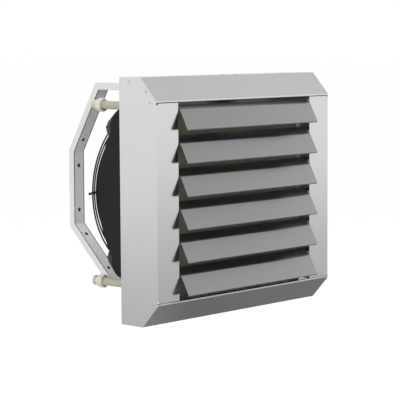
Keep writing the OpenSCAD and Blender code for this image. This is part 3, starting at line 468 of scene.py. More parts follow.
def shared_effect(name, **values):
    """A node group with named sockets; returns its builder and its input sockets."""
    tree = bpy.data.node_groups.new(name, "ShaderNodeTree")
    for label, value in values.items():
        kind = SOCKET_KINDS.get(label, "NodeSocketFloat")
        tree.interface.new_socket(label, in_out="INPUT", socket_type=kind).default_value = value
    for label in ("Colour", "Roughness", "Height"):
        kind = SOCKET_KINDS.get(label, "NodeSocketFloat")
        tree.interface.new_socket(label, in_out="OUTPUT", socket_type=kind)
    nodes = Nodes(tree)
    return nodes, nodes.add("NodeGroupInput").outputs


def end_effect(nodes, given, shade, rough, height):
    """Puts out the given colour times a shade, the roughness and the relief."""
    tint = nodes.scaled(given["Colour"], shade)
    nodes.add("NodeGroupOutput", {"Colour": tint, "Roughness": rough, "Height": height})
    return nodes.tree


def rolled_sheet():
    """Faint clouds of colour, and fine lines along X in the relief."""
    nodes, given = shared_effect(
        "Rolled sheet", Colour=(0.7, 0.7, 0.7, 1), Roughness=0.2, Spread=0.04, Stretch=(0.3, 1.0, 1.0))
    place = nodes.place()
    stretched = nodes.add("ShaderNodeMapping", {"Vector": place, "Scale": given["Stretch"]}).outputs[0]
    clouds = nodes.noise(place, scale=3.5, detail=3.0)
    lines = nodes.noise(stretched, scale=900.0, detail=2.0)
    shade = nodes.mapped(clouds, 0.3, 0.7, low=0.965, high=1.0)
    centred = nodes.maths("SUBTRACT", nodes.maths("ADD", clouds, lines), 1.0)
    rough = nodes.maths("MULTIPLY_ADD", centred, given["Spread"], given["Roughness"])
    return end_effect(nodes, given, shade, rough, lines)


def powder_coat():
    """Even colour with the small bumps of a sprayed coat."""
    nodes, given = shared_effect("Powder coat", Colour=(0.7, 0.7, 0.7, 1), Roughness=0.5, Grain=420.0)
    place = nodes.place()
    peel = nodes.noise(place, given["Grain"], detail=2.0)
    shade = nodes.mapped(nodes.noise(place, scale=6.0, detail=2.0), 0.3, 0.7, low=0.95, high=1.0)
    rough = nodes.maths("MULTIPLY_ADD", peel, 0.12, given["Roughness"])
    return end_effect(nodes, given, shade, rough, peel)


def moulded_grain():
    """Fine cells of a moulded surface under a broad haze."""
    nodes, given = shared_effect("Moulded grain", Colour=(0.03, 0.03, 0.03, 1), Roughness=0.5, Grain=1500.0)
    place = nodes.place()
    cells = nodes.add(
        "ShaderNodeTexVoronoi", {"Vector": place, "Scale": given["Grain"]}, feature="SMOOTH_F1").outputs[0]
    haze = nodes.noise(place, scale=12.0, detail=4.0)
    shade = nodes.mapped(haze, 0.3, 0.7, low=0.86, high=1.08)
    rough = nodes.maths("MULTIPLY_ADD", haze, 0.1, given["Roughness"])
    return end_effect(nodes, given, shade, rough, cells)


def zinc_flowers():
    """Grey cells of a zinc coat."""
    nodes, given = shared_effect(
        "Zinc flowers", Colour=(0.5, 0.5, 0.5, 1), Roughness=0.35, Grain=130.0, Spread=0.25)
    cells = nodes.add("ShaderNodeTexVoronoi", {"Vector": nodes.place(), "Scale": given["Grain"]})
    grey = nodes.add("ShaderNodeSeparateColor", {"Color": cells.outputs["Color"]}).outputs[0]
    centred = nodes.maths("SUBTRACT", grey, 0.5)
    shade = nodes.maths("MULTIPLY_ADD", centred, given["Spread"], 1.0)
    rough = nodes.maths("MULTIPLY_ADD", grey, 0.1, given["Roughness"])
    return end_effect(nodes, given, shade, rough, grey)


def make_finish(name, effect, tone, roughness, metallic=0.0, bump=0.0, specular=0.5, **values):
    """One finish: a shared effect feeds colour, roughness and bump of a plain Principled shader."""
    material = bpy.data.materials.new(name)
    material.use_nodes = True
    material.node_tree.nodes.clear()
    nodes = Nodes(material.node_tree)
    group = nodes.add("ShaderNodeGroup", node_tree=effect)
    group.inputs["Colour"].default_value = (*tone, 1)
    group.inputs["Roughness"].default_value = roughness
    for key, value in values.items():
        group.inputs[key].default_value = value
    shader = nodes.add("ShaderNodeBsdfPrincipled", {
        "Base Color": group.outputs["Colour"], "Roughness": group.outputs["Roughness"],
        "Metallic": metallic, "Specular IOR Level": specular})
    if bump:
        relief = nodes.add("ShaderNodeBump", {
            "Height": group.outputs["Height"], "Strength": bump, "Distance": 0.2 * MM})
        nodes.tree.links.new(relief.outputs[0], shader.inputs["Normal"])
    nodes.add("ShaderNodeOutputMaterial", {"Surface": shader.outputs[0]})
    return material


# The louvres' coat has painted shade behind a line in front of their pivots, for the rear flanges' shadow:
# the line's distance from the pivots, the width over which the coat darkens, and the share of its colour that is
# left
FLANGE_LINE = 13 * MM
FLANGE_FADE = 1.5 * MM
FLANGE_SHARE = 0.52


def painted_shade_behind(material, line):
    """Darkens a coat behind a line across the heater: painted shade for the rear flanges."""
    nodes = Nodes(material.node_tree)
    group = next(node for node in material.node_tree.nodes if node.type == "GROUP")
    shader = next(node for node in material.node_tree.nodes if node.type == "BSDF_PRINCIPLED")
    depth = nodes.add("ShaderNodeSeparateXYZ", {"Vector": nodes.place()}).outputs["Y"]
    shade = nodes.mapped(depth, line, line + FLANGE_FADE, low=1.0, high=FLANGE_SHARE)
    nodes.tree.links.new(nodes.scaled(group.outputs["Colour"], shade), shader.inputs["Base Color"])


class HEATER_OT_finishes(bpy.types.Operator):
    """Makes every finish from the shared effects"""

    bl_idname = "heater.finishes"
    bl_label = "Finishes"

    def execute(self, context):
        tone = context.scene.heater_colours
        sheet, powder, moulded, zinc = rolled_sheet(), powder_coat(), moulded_grain(), zinc_flowers()
        FINISHES.update({
            "casing": make_finish("Casing sheet", sheet, tone.casing, 0.17, metallic=1.0, bump=0.03),
            "louvre": make_finish("Louvre coat", sheet, tone.louvre, 0.3, metallic=0.85, bump=0.03),
            "console_paint": make_finish(
                "Console coat", powder, tone.console, 0.42, metallic=0.1, bump=0.04, Grain=80.0),
            # Painted shadow in the console's seams
            "painted_shadow": make_finish("Seam sealer", powder, tone.painted_shadow, 0.6),
            "inner_sheet": make_finish("Inner sheet", zinc, tone.inner, 0.34, metallic=0.9),
            "rivet": make_finish(
                "Rivet aluminium", zinc, tone.casing, 0.3, metallic=1.0, Grain=900.0, Spread=0.05),
            "zinc": make_finish("Zinc plate", zinc, tone.zinc, 0.3, metallic=1.0, Grain=600.0, Spread=0.12),
            "black_zinc": make_finish("Black plate", zinc, tone.wire, 0.32, metallic=0.6, Grain=600.0),
            "fins": make_finish("Fin sheet", sheet, tone.fins, 0.5, metallic=0.35, bump=0.05),
            "copper": make_finish(
                "Copper tube", zinc, tone.copper, 0.3, metallic=1.0, Grain=70.0, Spread=0.3),
            "pipe": make_finish("Pipe paint", powder, tone.pipe, 0.3, bump=0.04, Grain=110.0),
            "connector": make_finish(
                "Connector plate", powder, tone.brass, 0.26, metallic=0.2, bump=0.03, Grain=110.0),
            "black_plastic": make_finish(
                "Moulded black", moulded, tone.plastic, 0.55, bump=0.1, specular=0.25),
            "guard_wire": make_finish("Wire coat", powder, tone.wire, 0.3, bump=0.1),
            "motor_black": make_finish("Motor coat", powder, tone.motor, 0.4, bump=0.2),
            "fan_blade": make_finish("Blade plastic", moulded, tone.blade, 0.4, bump=0.15, Grain=1100.0),
            "bearing_steel": make_finish("Ground steel", sheet, tone.steel, 0.2, metallic=1.0, bump=0.05),
            "nylon": make_finish("Nylon", moulded, tone.nylon, 0.42, bump=0.1),
        })
        # Painted shade on the louvres' rear flanges
        painted_shade_behind(FINISHES["louvre"], JOINT_AT["louver_1_tilt"].y - FLANGE_LINE)
        return {"FINISHED"}


# Casing


class HEATER_OT_casing(bpy.types.Operator):
    """Folded casing sheets with rounded bends, and the back panel with its shelves"""

    bl_idname = "heater.casing"
    bl_label = "Casing"

    def execute(self, context):
        edge = sizes().soft_edge
        for node in ("left_side_panel", "right_side_panel", "top_panel", "bottom_panel"):
            refined(node, "folded_" + node, edge, angle=30)
        refined("back_panel", "shelved_back_panel", edge, angle=30)
        for node in ("upper_pivot_bracket", "lower_pivot_bracket"):
            refined(node, "folded_" + node, 2 * edge)
        return {"FINISHED"}


# Rivets, screws, bolts and nuts

RIVET_HEAD_HEIGHT = 1.2 * MM
RIVET_RADIUS = 2 * MM
RIVET_GRIP = 2.6 * MM
# Rings of a rivet's head, as radius and height in millimetres, with its mandrel's hollow in the middle
RIVET_HEAD = ((4.0, 0), (3.95, 0.3), (3.4, 0.75), (2.5, 1.05), (1.5, 1.19), (1.2, 1.15), (1.1, 0.5),
              (0.3, 0.4))
SCREW_HEAD_RADIUS = 4 * MM
SCREW_HEAD_HEIGHT = 2 * MM
SCREW_STEPS = 6
SCREW_RADIUS = 2 * MM
SCREW_LENGTH = 6 * MM
GUARD_SCREW_RADIUS = 2.5 * MM
GUARD_SCREW_LENGTH = 30 * MM
RECESS_WIDTH = 0.8 * MM
RECESS_TAPER = 0.45


def pop_rivet():
    """Domed head with the hollow that its mandrel leaves, upright at the origin."""
    head = turned("rivet_head", [(radius * MM, height * MM) for radius, height in RIVET_HEAD], 24)
    smooth(head, angle=40)
    return joined([head, shank(RIVET_RADIUS, RIVET_GRIP)], "rivet")


def recessed(head, top, depth, reach):
    """Cuts a cross recess into a screw head."""
    for turn in (0, QUARTER):
        bpy.ops.mesh.primitive_cube_add(size=1, location=(0, 0, top), rotation=(0, 0, turn))
        blade = added("recess")
        blade.scale = (2 * reach, RECESS_WIDTH, 2 * depth)
        settle(blade)
        edit(blade, "FACE")
        select(blade, "FACE", lambda face: face.normal.z < -0.9)
        bpy.ops.transform.resize(value=(RECESS_TAPER, RECESS_TAPER, 1))
        done()
        cut(head, blade)


def domed_screw(shank_radius, shank_length):
    """Screw with a round head and a cross recess, upright with its head's seat at the origin."""
    radius, height = SCREW_HEAD_RADIUS, SCREW_HEAD_HEIGHT
    profile = [(radius, 0)] + [
        (radius * math.cos(math.radians(80 * s / SCREW_STEPS)),
         height * (0.25 + 0.75 * math.sin(math.radians(90 * s / SCREW_STEPS))))
        for s in range(SCREW_STEPS + 1)]
    head = turned("screw_head", profile, 24)
    recessed(head, height, 0.55 * height, 0.6 * radius)
    smooth(head, angle=40)
    return joined([head, shank(shank_radius, shank_length)], "screw")


def shank(radius, depth):
    stem = turned("shank", [(radius, -depth), (radius, 0)], 16)
    smooth(stem, angle=40)
    return stem


def headed(node, name, pattern, height, direction_of):
    """Puts a copy of a rivet or screw in each loose solid of a node, flush with the end of its CAD box."""
    copies = []
    for low, high in islands(node):
        direction = direction_of(low, high)
        way = AXIS[direction]
        reach = abs((high - low).dot(way)) / 2
        place = (low + high) / 2 + way * (reach - height)
        copies.append(placed(copy_of(pattern, name), place, direction))
    return finished(joined(copies, name), node)


def backward(low, high):
    return "Y"


class HEATER_OT_fasteners(bpy.types.Operator):
    """Rivets and screws, each modelled once and copied, and bolts, nuts, pins and washers rounded from their CAD
    solids
    """

    bl_idname = "heater.fasteners"
    bl_label = "Fasteners"

    def execute(self, context):
        middle = 2 * JOINT_AT["impeller_spin"].z
        rivet = pop_rivet()
        headed("panel_rivets", "panel_pop_rivets", rivet, RIVET_HEAD_HEIGHT,
               lambda low, high: "X" if low.x > 0 else "-X")
        headed("bracket_rivets", "bracket_pop_rivets", rivet, RIVET_HEAD_HEIGHT,
               lambda low, high: "Z" if (low.z + high.z) > middle else "-Z")
        removed(rivet)

        screw = domed_screw(SCREW_RADIUS, SCREW_LENGTH)
        for node in ("back_panel_screws", "housing_screws", "cover_screws"):
            headed(node, "recessed_" + node, screw, SCREW_HEAD_HEIGHT, backward)
        removed(screw)

        refined("pivot_bolts", "chamfered_pivot_bolts", width=0.6 * MM, angle=40)
        refined("pivot_nuts", "chamfered_pivot_nuts", width=0.6 * MM, angle=40)
        refined("motor_screws", "chamfered_motor_screws", width=0.4 * MM, angle=40)
        refined("louver_pins", "domed_louver_pins", width=0.4 * MM, angle=40)
        refined("louver_washers", "rounded_louver_washers", width=0.3 * MM, angle=40)
        return {"FINISHED"}


# Louvres

# The ear's round end keeps its corners between these angles, in degrees from the rear upwards
EAR_ARC = (-112, -22)


def slanting(slope):
    """The way up a plate that slopes back from the upright, as (y, z)."""
    return Vector((math.sin(slope), math.cos(slope)))


def louver_section():
    """The folds of a louvre round its pivot: hem, tip, fold and flange end, as (y, z)."""
    size = sizes()
    fold = Vector((-size.fold_forward, -size.fold_drop))
    tip = fold - size.louver_chord * slanting(size.louver_slope)
    hem = tip + size.louver_hem * Vector((math.cos(size.louver_slope), -math.sin(size.louver_slope)))
    end = fold + size.louver_flange * slanting(size.flange_slope)
    return hem, tip, fold, end


def louver_ear(x):
    """End ear: a disc round the pivot, drawn out to the fold, the flange and the front plate."""
    size = sizes()
    hem, tip, fold, end = louver_section()
    corners = [end, fold, fold - size.ear_reach * slanting(size.louver_slope)]
    bpy.ops.mesh.primitive_circle_add(
        vertices=36, radius=size.ear_radius, fill_type="NGON", rotation=(QUARTER, 0, QUARTER))
    ear = added("ear")
    settle(ear)
    edit(ear, "VERT")
    for corner in corners:
        place = Vector((0, corner.x, corner.y))
        mesh = bmesh.from_edit_mesh(ear.data)
        nearest = min(mesh.verts, key=lambda vert: (vert.co.normalized() - place.normalized()).length)
        chosen, move = nearest.index, place - nearest.co
        select(ear, "VERT", lambda vert: vert.index == chosen)
        bpy.ops.transform.translate(value=move)
    done()
    edit(ear, "VERT")

    def between(vert):
        turn = math.degrees(math.atan2(vert.co.z, vert.co.y))
        return vert.co.length < size.ear_radius + MM / 2 and not EAR_ARC[0] < turn < EAR_ARC[1]

    select(ear, "VERT", between)
    bpy.ops.mesh.dissolve_verts()
    done()
    modify(ear, "SOLIDIFY", thickness=size.louver_gauge, offset=0)
    ear.data.transform(Matrix.Translation((x, 0, 0)))
    return ear


class HEATER_OT_louvers(bpy.types.Operator):
    """One louvre with its folds, hem and ears, copied to the six pivots"""

    bl_idname = "heater.louvers"
    bl_label = "Louvres"

    def execute(self, context):
        gauge = sizes().louver_gauge
        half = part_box("louver_1")[1].x
        sheet = folded_sheet("plate", louver_section(), 2 * half, gauge, gauge)
        ears = [louver_ear(side * (half - gauge / 2)) for side in (-1, 1)]
        pattern = joined([sheet] + ears, "louvre")
        outward(pattern)
        soften(pattern, width=0.15 * MM, angle=50)
        smooth(pattern, angle=40)
        for number in range(1, 7):
            node = "louver_%d" % number
            finished(copy_of(pattern, "folded_" + node, JOINT_AT[node + "_tilt"]), node)
        removed(pattern)
        return {"FINISHED"}


# Water coil and pipes


class HEATER_OT_coil(bpy.types.Operator):
    """Thin waved fins, end plates, channels, copper tubes and headers"""

    bl_idname = "heater.coil"
    bl_label = "Water coil"

    def execute(self, context):
        size = sizes()
        low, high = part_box("coil_fins")
        bpy.ops.mesh.primitive_grid_add(x_subdivisions=6, y_subdivisions=4, size=1, rotation=(0, QUARTER, 0))
        fin = added("fin")
        fin.scale = (high.z - low.z, high.y - low.y, 1)
        settle(fin)
        rows = sorted({round(vert.co.y, 6) for vert in fin.data.vertices})
        edit(fin, "VERT")
        for index, row in enumerate(rows):
            select(fin, "VERT", lambda vert: abs(vert.co.y - row) < NEAR)
            bpy.ops.transform.translate(value=((index % 2 - 0.5) * size.fin_wave, 0, 0))
        done()
        modify(fin, "SOLIDIFY", thickness=size.fin_gauge, offset=0)
        fin.data.transform(Matrix.Translation((0, (low.y + high.y) / 2, (low.z + high.z) / 2)))
        count = int((high.x - low.x) / size.fin_pitch)
        start = (low.x + high.x - (count - 1) * size.fin_pitch) / 2
        fin.data.transform(Matrix.Translation((start, 0, 0)))
        modify(fin, "ARRAY", count=count, use_relative_offset=False, use_constant_offset=True,
               constant_offset_displace=(size.fin_pitch, 0, 0))
        finished(added("thin_fins"), "coil_fins")
        for node in ("coil_left_plate", "coil_right_plate", "coil_top_channel", "coil_bottom_channel"):
            refined(node, "folded_" + node, size.soft_edge, angle=30)
        refined("heating_tubes", "brazed_heating_tubes", width=0)
        for node in ("front_header", "rear_header", "header_caps"):
            refined(node, "brazed_" + node, width=0.3 * MM)
        return {"FINISHED"}


THREAD_START = 0.8 * MM
THREAD_CHAMFER = 1.4 * MM
# Plain stretch between the thread's ridges and the hexagon
THREAD_RUNOUT = 3 * MM


def threaded_connector(name):
    """Chamfered hexagon with a ridged, hollow pipe thread behind it, upright with its thread downwards."""
    size = sizes()
    base, tall, flat = size.thread_length, size.hexagon_length, size.hexagon / 2
    point = flat / math.cos(math.pi / 6)
    bpy.ops.mesh.primitive_cylinder_add(
        vertices=6, radius=point, depth=tall, location=(0, 0, size.thread_length + tall / 2))
    hexagon = added("hexagon")
    settle(hexagon)
    chamfer = turned("chamfer", [
        (flat, base - NEAR), (point, base + flat / 6), (point, base + tall - flat / 6),
        (flat, base + tall + NEAR)], 64)
    cut(hexagon, chamfer, "INTERSECT")
    radius = size.thread / 2
    root = radius - size.thread_depth
    ridges = int((size.thread_length - THREAD_RUNOUT) / size.thread_pitch)
    profile = [(size.water_bore, 0), (radius - THREAD_CHAMFER, 0)]
    for ridge in range(ridges):
        foot = THREAD_START + ridge * size.thread_pitch
        profile += [(root, foot), (radius, foot + 0.5 * size.thread_pitch)]
    profile += [(root, THREAD_START + ridges * size.thread_pitch), (root, base), (root, base + OVERRUN)]
    thread = turned("thread", profile, 48)
    bore = turned("bore", [(size.water_bore, -OVERRUN), (size.water_bore, base + tall + OVERRUN)], 48)
    cut(thread, copy_of(bore, "bore_copy"))
    cut(hexagon, bore)
    soften(hexagon, width=0.3 * MM, angle=50)
    smooth(hexagon, angle=35)
    smooth(thread, angle=60)
    return joined([hexagon, thread], name)


class HEATER_OT_pipes(bpy.types.Operator):
    """Water pipes and their threaded connectors"""

    bl_idname = "heater.pipes"
    bl_label = "Water pipes"

    def execute(self, context):
        size = sizes()
        connector = threaded_connector("connector")
        outer, inner = size.pipe / 2, size.pipe / 2 - size.pipe_wall
        for level in ("upper", "lower"):
            low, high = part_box(level + "_connector")
            middle = (low + high) / 2
            twin = copy_of(connector, "threaded_%s_connector" % level)
            placed(twin, Vector((middle.x, high.y, middle.z)), "-Y")
            finished(twin, level + "_connector", finish="connector")
            low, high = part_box(level + "_pipe")
            middle = (low + high) / 2
            reach = high.y - low.y
            pipe = turned("plain_%s_pipe" % level, [
                (inner, 0), (outer, 0), (outer, reach), (inner, reach), (inner, 0)], 48, closed=True)
            smooth(pipe, angle=40)
            placed(pipe, Vector((middle.x, low.y, middle.z)), "Y")
            finished(pipe, level + "_pipe")
        removed(connector)
        return {"FINISHED"}


# Console

SEAM_WIDTH = 2.4 * MM
SEAM_DEPTH = 0.6 * MM
SEAM_RISE = 0.2 * MM
# From the tube's side to a bead, and from the arms' front ends to the beads' ends
SEAM_INSET = 1.0 * MM
SEAM_START = 8 * MM
# Long enough for both walls of the tube, and for both arms
DRILL_LENGTH = 60 * MM
PIVOT_DRILL_LENGTH = 1000 * MM
CONSOLE_NODES = ["console_upper_arm", "console_upper_stretch", "console_middle_stretch",
                 "console_lower_stretch", "console_lower_arm"]


def drilled(piece, radius, reach, place, direction):
    """Drills a hole along a direction, centred on its place."""
    bpy.ops.mesh.primitive_cylinder_add(
        vertices=48, radius=radius, depth=reach, location=place,
        rotation=Vector(direction).to_track_quat("Z", "Y").to_euler())
    drill = added("drill")
    settle(drill)
    cut(piece, drill)


class HEATER_OT_console(bpy.types.Operator):
    """Cranked console: one ribbon folded round its corners, thickened, hollowed and drilled"""

    bl_idname = "heater.console"
    bl_label = "Console"

    def execute(self, context):
        top, middle, bottom = (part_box(CONSOLE_NODES[i]) for i in (0, 2, 4))
        front = top[0].y
        width = top[1].x - top[0].x
        corners = [(top[1].y, top[1].z), (middle[1].y, middle[1].z), (middle[1].y, middle[0].z),
                   (bottom[1].y, bottom[0].z)]

        def path_from(start):
            return [(start, top[1].z)] + corners + [(start, bottom[0].z)]

        console = self.hollow_tube(path_from(front), width, front)
        self.drill_holes(console)
        smooth(console, angle=25)
        even_shading(console)
        finished(console, *CONSOLE_NODES)
        inset = (width - SEAM_WIDTH) / 2 - SEAM_INSET
        path = path_from(front + SEAM_START)
        # Painted shadow: dark strips along the seams, where the gaps of the console's seams lie in shade
        beads = joined([self.painted_seam_shadow(path, side * inset) for side in (-1, 1)], "console_painted_seam_shadows")
        beads.data.materials.append(FINISHES["painted_shadow"])
        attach(beads, BODY_OF[CONSOLE_NODES[0]])
        refined("console_end_caps", "moulded_end_caps", width=0.8 * MM, segments=3)
        refined("console_bushes", "moulded_bushes", width=0.3 * MM)
        return {"FINISHED"}

    def hollow_tube(self, path, width, front):
        """The rectangular tube round its corners, open at the arms' front ends."""
        size = sizes()
        tube = folded_sheet("cranked_console", path, width)
        thicken(tube, size.tube_depth, -1)
        outward(tube)
        edit(tube, "FACE")
        select(tube, "FACE",
               lambda face: abs(face.normal.y) > 0.99 and face.calc_center_median().y < front + MM)
        bpy.ops.mesh.delete(type="FACE")
        done()
        soften(tube, width=0.8 * MM, angle=25, segments=3)
        thicken(tube, size.tube_wall, -1)
        return tube

    def drill_holes(self, console):
        """The fixing holes at the record's mounts, and the bores for the bushes."""
        for mount in frame["record"]["mounts"]:
            place, dims = Vector(mount["pos_m"]), mount["dims"]
            if mount["kind"] == "bolt_pattern":
                reach = dims["spacing_y_mm"] * MM / 2
                for side in (-1, 1):
                    hole = place + Vector((0, 0, side * reach))
                    drilled(console, dims["hole_r_mm"] * MM, DRILL_LENGTH, hole, (0, 1, 0))
            elif mount["name"].startswith(("upper_bolt", "lower_bolt")):
                drilled(console, dims["r_mm"] * MM, DRILL_LENGTH, place, mount["axis"])
        pivot = JOINT_AT["heater_swivel"]
        drilled(console, sizes().pivot_bore, PIVOT_DRILL_LENGTH, (pivot.x, pivot.y, 0), (0, 0, 1))

    def painted_seam_shadow(self, path, place):
        """Strip of dark colour in the seam along one edge of the tubes' inner faces: painted shadow of the seam's
        gap.
        """
        middle = Vector((0, JOINT_AT["heater_swivel"].y, JOINT_AT["impeller_spin"].z))
        bead = folded_sheet("seam_bead", path, SEAM_WIDTH)
        thicken(bead, sizes().tube_depth - SEAM_DEPTH, -1)
        outward(bead)
        edit(bead, "FACE")
        select(bead, "FACE", lambda face: abs(face.normal.x) > 0.5
               or (middle - face.calc_center_median()).dot(face.normal) < 0)
        bpy.ops.mesh.delete(type="FACE")
        done()
        thicken(bead, SEAM_DEPTH + SEAM_RISE, 1)
        soften(bead, width=SEAM_RISE / 2, angle=60)
        bead.data.transform(Matrix.Translation((place, 0, 0)))
        return bead


# Fan


class HEATER_OT_housing(bpy.types.Operator):
    """Moulded fan housing with soft edges, and the terminal box behind the motor"""

    bl_idname = "heater.housing"
    bl_label = "Fan housing"

    def execute(self, context):
        refined("fan_housing", "moulded_fan_housing", width=1.2 * MM, angle=24, segments=3)
        refined("terminal_box", "moulded_terminal_box", width=1.0 * MM, segments=3)
        refined("terminal_cover", "moulded_terminal_cover", width=0.8 * MM, segments=3)
        refined("cable_gland", "moulded_cable_gland", width=0.4 * MM)
        return {"FINISHED"}


def guard_dome():
    """The dome of the guard's rings: radius of the outer ring, flat height and radius of the sphere."""
    size = sizes()
    low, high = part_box("guard_outer_ring")
    outer = high.x - size.wire / 2
    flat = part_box("guard_rings")[1].y - size.wire / 2
    depth = flat - (low.y + high.y) / 2
    run = outer - size.hub_ring
    sphere = (run ** 2 + depth ** 2) / (2 * depth)
    return outer, flat, sphere


class HEATER_OT_guard(bpy.types.Operator):
    """Fan guard: rings on a dome, ribs and stays behind them, clips and their screws at the corners"""

    bl_idname = "heater.guard"
    bl_label = "Fan guard"

    def execute(self, context):
        size = sizes()
        outer, flat, sphere = guard_dome()
        centre_z = JOINT_AT["impeller_spin"].z
        rings = []
        for index in range(size.ring_count - 1, -1, -1):
            radius = size.hub_ring + (outer - size.hub_ring) * index / (size.ring_count - 1)
            depth = flat - sphere + math.sqrt(sphere ** 2 - (radius - size.hub_ring) ** 2)
            bpy.ops.mesh.primitive_torus_add(
                major_segments=128, minor_segments=10, major_radius=radius, minor_radius=size.wire / 2,
                location=(0, depth, centre_z), rotation=(QUARTER, 0, 0))
            ring = added("ring")
            settle(ring)
            rings.append(ring)
        outermost = rings.pop(0)
        smooth(outermost, angle=180)
        outermost.name = "welded_outer_ring"
        finished(outermost, "guard_outer_ring")
        guard = joined(rings, "welded_guard_rings")
        smooth(guard, angle=180)
        finished(guard, "guard_rings")
        refined("guard_ribs", "welded_guard_ribs", width=0)
        refined("guard_clips", "moulded_guard_clips", width=0.6 * MM, segments=3)
        screw = domed_screw(GUARD_SCREW_RADIUS, GUARD_SCREW_LENGTH)
        headed("guard_screws", "recessed_guard_screws", screw, SCREW_HEAD_HEIGHT, backward)
        removed(screw)
        return {"FINISHED"}


class HEATER_OT_motor(bpy.types.Operator):
    """External rotor motor with its plate, bearings and shaft"""

    bl_idname = "heater.motor"
    bl_label = "Motor"

    def execute(self, context):
        refined("motor_plate", "pressed_motor_plate", width=0.6 * MM)
        refined("motor_stator", "cast_motor_stator", width=0.8 * MM)
        refined("motor_rotor", "drawn_motor_rotor", width=1.0 * MM, segments=3)
        for node in ("front_bearing", "rear_bearing"):
            refined(node, "ground_" + node, width=0.3 * MM)
        refined("motor_shaft", "ground_motor_shaft", width=0.4 * MM)
        return {"FINISHED"}


class HEATER_OT_impeller(bpy.types.Operator):
    """Swept impeller blades on their hub ring"""

    bl_idname = "heater.impeller"
    bl_label = "Impeller"

    def execute(self, context):
        refined("impeller_hub", "moulded_impeller_hub", width=0.8 * MM)
        blades = cad_copy("impeller_blades", "swept_impeller_blades")
        smooth(blades, angle=50)
        finished(blades, "impeller_blades")
        return {"FINISHED"}


# Stage

FLOOR_SIZE = 120
FLOOR_GREY = (0.93, 0.93, 0.93, 1)
WHITE = (1, 1, 1, 1)
# Share of plain white that the camera sees in the floor, over its shadow, and the white's strength
FLOOR_WHITE_SHARE = 0.85
FLOOR_WHITE_STRENGTH = 1.06
# Grey levels of the floor in reflections, by distance in metres from the place in front of the heater: painted
# shade, darkest near the heater
FLOOR_REACH = 30.0
FLOOR_MIDDLE = (1.1, -1.0)
FLOOR_LEVELS = [(0.9, 0.21), (1.17, 0.18), (1.8, 0.53), (4.6, 0.63), (6.6, 0.74), (9.7, 0.93), (16.0, 0.96)]
# Grey levels of the sky in reflections, from the horizon upwards, and the level of light
SKY_LEVELS = [(0.0, 0.97), (0.8, 0.64)]
LIGHT_LEVEL = 0.62
# Name, place, side and power of each lamp, which shines on the casing's middle
LAMPS = (("left lamp", (-4.5, 1.0, 2.2), 3.0, 90), ("top lamp", (0.5, -2.0, 4.5), 4.0, 110))
LAMP_TARGET = (0, -0.4, 0)
SENSOR_WIDTH = 36
FARTHEST = 400


def soft_lamp(name, place, side, power):
    """A square lamp that metal doesn't reflect."""
    lamp = bpy.data.lights.new(name, "AREA")
    lamp.shape = "RECTANGLE"
    lamp.size = side
    lamp.size_y = side
    lamp.energy = power
    light = bpy.data.objects.new(name, lamp)
    light.location = place
    light.rotation_euler = (Vector(LAMP_TARGET) - Vector(place)).to_track_quat("-Z", "Y").to_euler()
    light.visible_glossy = False
    bpy.context.scene.collection.objects.link(light)


def graded(ramp, stops):
    """Sets a colour ramp's stops to grey levels."""
    while len(ramp.elements) < len(stops):
        ramp.elements.new(1.0)
    for element, (position, level) in zip(ramp.elements, stops):
        element.position = position
        element.color = (level, level, level, 1)


